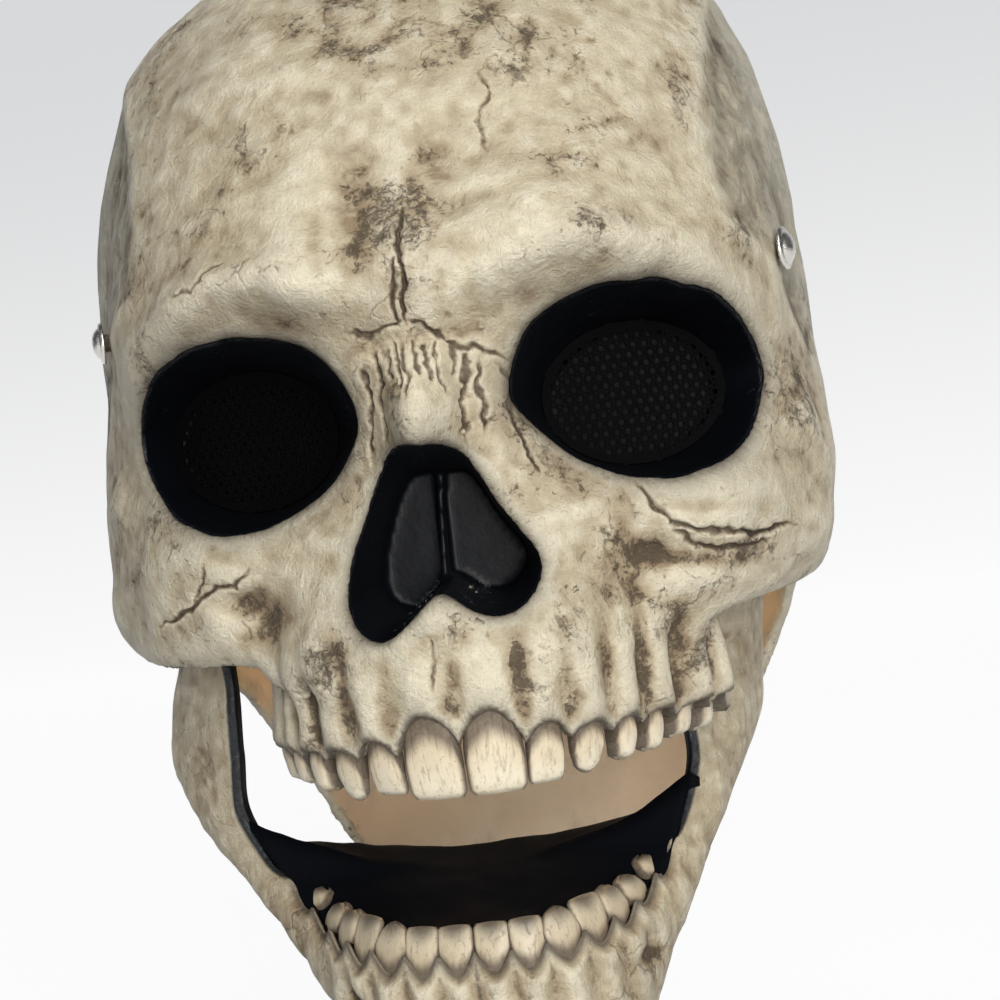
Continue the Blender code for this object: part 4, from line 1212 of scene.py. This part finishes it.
# %% Sums with wires
class Wire:
    def __init__(self, tree, socket=None):
        self.tree, self.socket = tree, socket

    def node(self, kind, settings, links, output=0):
        made = self.tree.nodes.new(kind)
        for key, value in settings.items():
            setattr(made, key, value)
        for key, value in links.items():
            if isinstance(value, Wire):
                self.tree.links.new(value.socket, made.inputs[key])
            else:
                made.inputs[key].default_value = value
        return Wire(self.tree, made.outputs[output])

    def sum(self, operation, a, b=0.0, clamp=False):
        return self.node("ShaderNodeMath", {"operation": operation, "use_clamp": clamp},
                         {0: a, 1: b})

    def __add__(self, other):
        return self.sum("ADD", self, other)

    __radd__ = __add__

    def __sub__(self, other):
        return self.sum("SUBTRACT", self, other)

    def __rsub__(self, other):
        return self.sum("SUBTRACT", other, self)

    def __mul__(self, other):
        return self.sum("MULTIPLY", self, other)

    __rmul__ = __mul__

    def __pow__(self, other):
        return self.sum("POWER", self, other)

    def clipped(self):
        return self.sum("ADD", self, 0.0, clamp=True)

    def larger(self, other):
        return self.sum("MAXIMUM", self, other)

    def rise(self, low, high):
        """Zero below the low value, one above the high one, and smooth between."""
        return self.node("ShaderNodeMapRange", {"interpolation_type": "SMOOTHSTEP"},
                         {0: self, 1: low, 2: high, 3: 0.0, 4: 1.0})

    def blend(self, below, above):
        """A colour between two, by this number."""
        return self.node("ShaderNodeMix", {"data_type": "RGBA"}, {0: self, 6: below, 7: above}, 2)

    def stored(self, label):
        return self.node("ShaderNodeAttribute", {"attribute_name": label}, {}, 2)

    def place(self):
        """Object coordinates in millimetres."""
        there = self.node("ShaderNodeTexCoord", {}, {}, 3)
        return self.node("ShaderNodeVectorMath", {"operation": "SCALE"},
                         {0: there, "Scale": 1000.0})

    def scaled(self, factors):
        return self.node("ShaderNodeVectorMath", {"operation": "MULTIPLY"}, {0: self, 1: factors})

    def noise(self, size, detail=3.0, rough=0.55, twist=0.0):
        """Cloudy noise about 0.5, with clouds of a size in millimetres."""
        return self.node("ShaderNodeTexNoise", {},
                         {"Vector": self, "Scale": 1.0 / size, "Detail": detail,
                                                    "Roughness": rough, "Distortion": twist})

    def cells(self, size, feature="F1", output=0):
        return self.node("ShaderNodeTexVoronoi", {"feature": feature},
                         {"Vector": self, "Scale": 1.0 / size},
                         output)


def new_finish(name):
    """A material with one Principled shader, and a loose wire to start its sums from."""
    material = bpy.data.materials.new(name)
    material.use_nodes = True
    shader = material.node_tree.nodes["Principled BSDF"]
    return material, shader, Wire(material.node_tree)


def plug(shader, wires, constants):
    for name, wire in wires.items():
        wire.tree.links.new(wire.socket, shader.inputs[name])
    for name, value in constants.items():
        shader.inputs[name].default_value = value


def bumped(heights):
    """A normal from heights in millimetres: each entry is a wire and a strength."""
    normal = None
    for height, strength in heights:
        links = {"Height": height, "Strength": strength, "Distance": 0.001}
        if normal is not None:
            links["Normal"] = normal
        normal = height.node("ShaderNodeBump", {}, links)
    return normal


def tint(red, green, blue):
    return (red, green, blue, 1.0)


print("wires ready")

# %% [markdown]
# The bone is cast in ivory latex. Over it go a thin warm wash, dark brown paint wiped back into
# the hollows with painted shade in the broad ones, a fine spatter on the crown, soot-dark airbrush
# and painted shade around the sockets and nose, and grey-green with painted shade in the temples.
# Black gloss fills the sockets and the nose. The bare inside stays cream.

# %% The painted bone
def bone_finish(name, spatter, streaks):
    material, shader, wire = new_finish(name)
    at = wire.place()
    hollow, broad = wire.stored("hollow"), wire.stored("broad")
    patches = at.noise(24.0, 4.0, 0.62, 0.5)
    cloud = at.noise(7.0, 5.0, 0.68, 0.8)
    grain = at.noise(1.6, 5.0, 0.72)
    fine = at.noise(0.6, 3.0, 0.7)
    mottle = at.noise(4.2, 9.0, 0.74, 1.4)

    bone = patches.rise(0.34, 0.68).blend(tint(0.66, 0.585, 0.425), tint(0.50, 0.42, 0.285))
    bone = ((0.0 - hollow).rise(0.02, 0.75) * 0.65).blend(bone, tint(0.80, 0.745, 0.59))
    # Brown paint in the hollows and stains. In the broad hollows it also stands for painted shade.
    wash_and_shade = (hollow.rise(-0.30, 1.0) * 0.75 + broad.rise(-0.2, 1.0) * 0.45
            + wire.stored("stain") * 0.40
            + patches.rise(0.45, 0.75) * 0.22)
    wash_and_shade = (wash_and_shade * (0.35 + 1.3 * cloud.rise(0.30, 0.70))).clipped()
    bone = (wash_and_shade * 0.90).blend(bone, tint(0.27, 0.195, 0.115))
    if streaks:
        run = at.scaled((1.0, 1.0, 0.16)).noise(1.9, 5.0, 0.7)
        bone = (run.rise(0.50, 0.68) * streaks).blend(bone, tint(0.25, 0.19, 0.12))
    zone = (hollow.rise(0.0, 1.0) * 0.22 + broad.rise(0.0, 1.0) * 0.08 + wire.stored("stain") * 0.22
            + patches.rise(0.44, 0.70) * spatter)
    deep = (mottle + zone - 0.66).rise(0.0, 0.26)
    bone = (deep * 0.50).blend(bone, tint(0.135, 0.098, 0.060))
    crackle = at.noise(1.9, 8.0, 0.80, 1.0)
    specks = (crackle + zone * 0.60 - 0.68).rise(0.0, 0.10)
    bone = (specks * 0.75).blend(bone, tint(0.060, 0.044, 0.030))
    bone = (fine.rise(0.50, 0.70) * 0.30).blend(bone, tint(0.26, 0.20, 0.13))

    # Grey-green paint and painted shade darken the temple hollows.
    temple = wire.stored("temple") * (0.35 + 0.9 * cloud.rise(0.30, 0.70))
    bone = (temple.clipped() * 0.55).blend(bone, tint(0.115, 0.115, 0.095))
    # Near-black airbrush and painted shade around the sockets and nose.
    halo = wire.stored("halo") ** 1.4 * (0.75 + 0.5 * grain)
    bone = (halo * 0.95).clipped().blend(bone, tint(0.045, 0.034, 0.026))
    line = (wire.stored("crack") * 1.5 + (grain - 0.5) * 2.2 + (cloud - 0.5) * 1.6).rise(0.40, 1.35)
    dark = (line * 0.80).larger(wire.stored("gum")).clipped()
    bone = (dark * 0.86).blend(bone, tint(0.060, 0.042, 0.028))
    bent = at.node("ShaderNodeVectorMath", {"operation": "ADD"}, {
        0: at, 1: at.node("ShaderNodeTexNoise", {}, {"Vector": at, "Scale": 0.22, "Detail": 3.0},
                          1).scaled((7.0, 7.0, 7.0))})
    web = 1.0 - bent.cells(11.0, "DISTANCE_TO_EDGE").rise(0.0, 0.055)
    web = web * (patches * 0.6 + mottle * 0.7 + wire.stored("stain") * 0.15 - 0.64).rise(0.0, 0.16)
    bone = (web * 0.55).blend(bone, tint(0.10, 0.072, 0.045))

    bare = wire.stored("bare")
    inside = at.noise(30.0, 3.0).rise(0.3, 0.7).blend(tint(0.72, 0.60, 0.44),
                                                      tint(0.62, 0.50, 0.36))
    bone = bare.blend(bone, inside)
    black = (wire.stored("black") + (grain - 0.5) * 0.30 * wire.stored("halo")).rise(0.26, 0.55)
    bone = black.blend(bone, tint(0.0035, 0.005, 0.0075))
    dull = 0.43 + 0.25 * (cloud - 0.5) + 0.25 * specks + 0.20 * wash_and_shade + 0.1 * bare
    gloss = black.node("ShaderNodeMix", {}, {0: black, 2: dull, 3: 0.20})
    dents = specks * -0.16 - deep * 0.10 - web * 0.30
    relief = (grain * 0.55 + fine * 0.18 + cloud * 0.95 + mottle * 1.05 + dents) * (1.0
                                                                                    - 0.55 * black)
    relief = relief * (1.0 - 0.7 * bare)
    plug(shader, {"Base Color": bone, "Roughness": gloss, "Normal": bumped(((relief, 0.9),))},
         {"Specular IOR Level": 0.34})
    return material


BONE = bone_finish("aged_bone", 0.30, 0.0)
JAW_BONE = bone_finish("aged_bone_jaw", 0.10, 0.40)
print("bone finishes:", BONE.name, JAW_BONE.name)

# %% [markdown]
# Teeth are the palest part of the moulding, yellower at the neck. Dark paint and painted shade lie
# at their necks and flanks, and dark paint lies in thin streaks that run from neck to bite.

# %% The painted teeth, black gloss, sheet and metal
def tooth_finish(name, pale, tan, sooty):
    material, shader, wire = new_finish(name)
    at = wire.place()
    neck, flank = wire.stored("neck"), wire.stored("flank")
    cloud, grain = at.noise(5.0, 3.0, 0.6), at.noise(0.9, 4.0, 0.7)
    colour = neck.rise(0.25, 0.95).blend(tan, pale)
    colour = (cloud.rise(0.45, 0.75) * 0.5).blend(colour, tan)
    streak = at.scaled((1.0, 1.0, 0.10)).noise(0.9, 4.0, 0.7).rise(0.52, 0.72)
    colour = (streak * (0.55 - 0.2 * neck)).blend(colour, tint(0.26, 0.19, 0.115))
    # Painted shade, over dark paint, where the teeth turn away at the flanks and back and meet the
    # gum at the neck.
    shade = (flank.rise(0.80, 1.0) * 0.9 + (1.0 - neck.rise(0.30, 0.52)) * 0.9).clipped()
    colour = (shade * (0.75 + 0.5 * grain)).clipped().blend(colour, tint(0.085, 0.06, 0.04))
    specks = grain.rise(0.58, 0.70) * 0.5
    colour = specks.blend(colour, tint(0.20, 0.15, 0.09))
    soot = (neck.rise(0.62, 0.98) * sooty).clipped()
    colour = soot.blend(colour, tint(0.035, 0.028, 0.022))
    plug(shader, {"Base Color": colour, "Roughness": 0.36 + 0.3 * shade,
                  "Normal": bumped(((streak * -0.25 + grain * 0.12, 0.6),))},
         {"Specular IOR Level": 0.5})
    return material


UPPER_ENAMEL = tooth_finish("upper_enamel", tint(0.78, 0.71, 0.55), tint(0.60, 0.49, 0.33), 0.0)
LOWER_ENAMEL = tooth_finish("lower_enamel", tint(0.60, 0.52, 0.38), tint(0.44, 0.36, 0.24), 0.85)


def plain_finish(name, colour, roughness, metallic=0.0, uneven=0.0, size=3.0, shine=0.5):
    material, shader, wire = new_finish(name)
    cloud = wire.place().noise(size, 4.0, 0.6)
    rough_wire = roughness + (cloud - 0.5) * uneven
    plug(shader, {"Roughness": rough_wire, "Normal": bumped(((cloud * 0.5, 0.35),))},
         {"Base Color": colour, "Metallic": metallic, "Specular IOR Level": shine})
    return material


BLACK_GLOSS = plain_finish("black_gloss", tint(0.0025, 0.003, 0.0045), 0.42, 0.0, 0.25, 6.0, 0.14)
FLOOR_BLACK = plain_finish("floor_black", tint(0.0025, 0.003, 0.0045), 0.75, 0.0, 0.2, 6.0, 0.03)
BLACK_SHEET = plain_finish("black_sheet", tint(0.0015, 0.0015, 0.002), 0.7, 0.0, 0.2, 1.5, 0.03)
NICKEL = plain_finish("nickel", tint(0.62, 0.60, 0.56), 0.27, 1.0, 0.3, 1.2)
print("finishes:", len(bpy.data.materials))

# %% [markdown]
# The sheet is cut, set in its socket and given a thin rim where glue holds it. Sheet and rim
# follow the CAD mesh, 38 mm behind the root of the nose, each turned twelve degrees outwards.

# %% Fit the eyes
def fit_eye(name, side, node_name):
    across, up, out, middle = eye_axes(side)
    cell = hole_cell()
    sheet = bpy.data.objects.new(name + "_sheet", bpy.data.meshes.new(name + "_sheet"))
    bpy.context.scene.collection.objects.link(sheet)
    pattern = sheet.modifiers.new("perforation", "NODES")
    pattern.node_group = perforation_tree(cell, BLACK_SHEET)
    for item in pattern.node_group.interface.items_tree:
        if item.in_out == "INPUT":
            reach = EYE_HALF[0] if item.name == "Half width" else EYE_HALF[1]
            pattern[item.identifier] = (reach - 0.6) / 1000.0
    apply_modifiers(sheet)
    flat = np.empty(len(sheet.data.vertices) * 3)
    sheet.data.vertices.foreach_get("co", flat)
    flat = flat.reshape(-1, 3) * 1000.0
    faces = [tuple(face.vertices) for face in sheet.data.polygons]
    band, band_faces = ring_band(*EYE_HALF, -1.9, 0.1, -0.6, 0.25)
    points = np.concatenate([flat, np.array(band)])
    faces += [tuple(i + len(flat) for i in face) for face in band_faces]
    lean = 0.25 * rough(points * (1, 1, 0) + (0, 0, 50.0 * side), 12.0, 51)
    spots = middle + np.outer(points[:, 0], across) + np.outer(points[:, 1], up)
    spots += np.outer(points[:, 2] + lean - 0.5, out)
    made = mesh_object(name, spots, faces)
    made.data.materials.append(BLACK_SHEET)
    for spare in (sheet, cell):
        bpy.data.objects.remove(spare)
    outward(made)
    for face in made.data.polygons:
        face.use_smooth = False
    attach(made, "skull")
    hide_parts(node_name)
    return made


eyes = [fit_eye("eye_sheet_" + word, side, "eye_mesh_" + word) for word,
        side in (("left", -1), ("right", 1))]
print("eye sheets:", sum(triangles(eye) for eye in eyes), "triangles")

# %% [markdown]
# The rivets are domed caps with a pressed ring and a washer, turned on a lathe. A shank goes
# through the shell and the arm, and ends in a flat head inside.

# %% Turn the rivets
RIVET_OUTLINE = (
    (0.0, 4.0), (1.2, 3.92), (2.2, 3.66), (3.05, 3.22), (3.65, 2.68), (3.9, 2.30), (4.05, 2.18),
    (4.3, 2.20),
    (4.75, 2.14), (5.1, 1.86), (5.25, 1.46), (5.15, 1.16), (4.7, 1.10), (2.25, 1.10), (2.25, -8.4),
    (4.5, -8.4),
    (4.5, -9.9), (0.0, -9.9),
)


def turned(name, outline, sides=56):
    points, faces = [(0, 0, outline[0][1])], []
    for radius, level in outline[1:-1]:
        points += [(radius * math.cos(2 * math.pi * k / sides),
                    radius * math.sin(2 * math.pi * k / sides), level)
                   for k in range(sides)]
    points.append((0, 0, outline[-1][1]))
    rings = len(outline) - 2
    for k in range(sides):
        n = (k + 1) % sides
        faces.append((0, 1 + k, 1 + n))
        for ring in range(rings - 1):
            a, b = 1 + ring * sides, 1 + (ring + 1) * sides
            faces.append((a + k, b + k, b + n, a + n))
        a = 1 + (rings - 1) * sides
        faces.append((a + k, len(points) - 1, a + n))
    return np.array(points), faces


def fit_rivet(name, side, node_name):
    points, faces = turned(name, RIVET_OUTLINE)
    turn = math.radians(22.0)
    out = np.array([side * math.cos(turn), -math.sin(turn), 0.0])
    up = np.array([0.0, 0.0, 1.0])
    across = np.cross(up, out)
    middle = np.array([side * HINGE_HALF, HINGE[1], HINGE[2]])
    spots = middle + np.outer(points[:, 0], across) + np.outer(points[:, 1],
                                                               up) + np.outer(points[:, 2], out)
    made = outward(mesh_object(name, spots, faces))
    made.data.materials.append(NICKEL)
    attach(made, "skull")
    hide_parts(node_name)
    return made


rivets = [fit_rivet("rivet_cap_" + word, side, "rivet_" + word) for word,
          side in (("left", -1), ("right", 1))]
print("rivets:", sum(triangles(rivet) for rivet in rivets), "triangles")

# %% [markdown]
# Each piece now takes its paint and rides on the body it belongs to. The shell and its teeth
# stand for the skull's moulding. The jaw, its teeth and the black floor stand for the jaw's.

# %% Dress the pieces
for piece, body, node_name, slot, finish in (
    (skull, "skull", "skull_shell", "aged_bone", BONE),
    (upper_row, "skull", "skull_shell", "aged_bone", UPPER_ENAMEL),
    (jaw, "jaw", "jaw_shell", "aged_bone_jaw", JAW_BONE),
    (lower_row, "jaw", "jaw_shell", "aged_bone_jaw", LOWER_ENAMEL),
    (mouth_floor, "jaw", "jaw_shell", "aged_bone_jaw", FLOOR_BLACK),
):
    piece.data.materials.clear()
    piece.data.materials.append(finish)
    if "black" in piece.data.attributes:
        piece.data.materials.append(BLACK_GLOSS)
        level = np.empty(len(piece.data.vertices))
        piece.data.attributes["black"].data.foreach_get("value", level)
        piece.data.polygons.foreach_set("material_index", [
            int(min(level[list(face.vertices)]) > 0.97) for face in piece.data.polygons])
    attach(piece, body)
    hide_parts(node_name)
    print(piece.name, triangles(piece), "triangles")

# %% [markdown]
# The mask floats in a white studio. A curved white sheet runs from under it up behind it, and
# five soft lamps light it. The key stands high in front and makes the brow cast its shadow. The
# front lamp is stronger but lower, and its shine is turned down so that the paint doesn't glare.
# A weak cool lamp on the left fills the shadows. Two small warm ones light the latex inside: one
# from below for the nape, one from behind the face for the back of the head.
# The sky gives little light, yet the camera sees it pale, so the ground stays pale in every view.

# %% Studio
def soft_lamp(name, place, target, size, power, colour=(1, 1, 1)):
    data = bpy.data.lights.new(name, "AREA")
    data.shape, data.size, data.size_y = "RECTANGLE", size[0], size[1]
    data.energy, data.color = power, colour
    made = bpy.data.objects.new(name, data)
    bpy.context.scene.collection.objects.link(made)
    place, target = vec(place), vec(target)
    made.location = place
    made.rotation_euler = (target - place).to_track_quat("-Z", "Y").to_euler()
    return made


soft_lamp("key", (190, -560, 460), (0, 0, -20), (0.34, 0.34), 2.5, (1.0, 0.985, 0.955))
front_lamp = soft_lamp("front", (260, -760, 40), (0, 20, -60), (0.45, 0.45), 7.1, (1.0, 0.99, 0.97))
front_lamp.data.specular_factor = 0.25
soft_lamp("fill", (-620, -420, 120), (0, 20, -40), (0.5, 0.8), 0.6, (0.96, 0.98, 1.0))
soft_lamp("nape", (-10, 96, -262), (0, 176, -118), (0.10, 0.06), 0.06, (1.0, 0.93, 0.82))
inside_lamp = soft_lamp("inside", (0, 60, 10), (0, 220, 25), (0.10, 0.05), 0.35, (1.0, 0.96, 0.88))
inside_lamp.data.spread = math.radians(75)
world = bpy.data.worlds.new("studio")
bpy.context.scene.world = world
world.use_nodes = True
world.node_tree.nodes["Background"].inputs[0].default_value = (0.93, 0.95, 1.0, 1.0)
sky = Wire(world.node_tree)
seen = sky.node("ShaderNodeLightPath", {}, {})
world.node_tree.links.new((0.10 + seen * 0.72).socket,
                          world.node_tree.nodes["Background"].inputs[1])

backdrop_points = []
profile = [(-3000 + 300 * k, -260.0) for k in range(12)]
profile += [(300 + 1500 + 900 * math.sin(a), -260 + 900 * (1 - math.cos(a)))
            for a in np.linspace(0, math.pi / 2, 12)]
profile += [(2700, 640 + 400 * k) for k in range(1, 9)]
for across in (-4000.0, 4000.0):
    backdrop_points += [(across, y, z) for y, z in profile]
n = len(profile)
backdrop_faces = [(k, n + k, n + k + 1, k + 1) for k in range(n - 1)]
backdrop = mesh_object("backdrop", backdrop_points, backdrop_faces)
backdrop_glow, shader, wire = new_finish("backdrop_glow")
# The sheet glows by itself, white at the bottom and greyer towards the top: painted light.
level = wire.node("ShaderNodeSeparateXYZ", {}, {0: wire.place()}, 2).rise(-700.0, 900.0)
plug(shader, {"Emission Color": level.blend(tint(1.0, 1.0, 1.0), tint(0.70, 0.705, 0.715))},
     {"Base Color": tint(0.10, 0.10, 0.10), "Roughness": 0.95, "Emission Strength": 0.95})
backdrop.data.materials.append(backdrop_glow)
backdrop.visible_diffuse = False
bpy.context.scene.view_settings.view_transform = "Standard"
print("studio set")
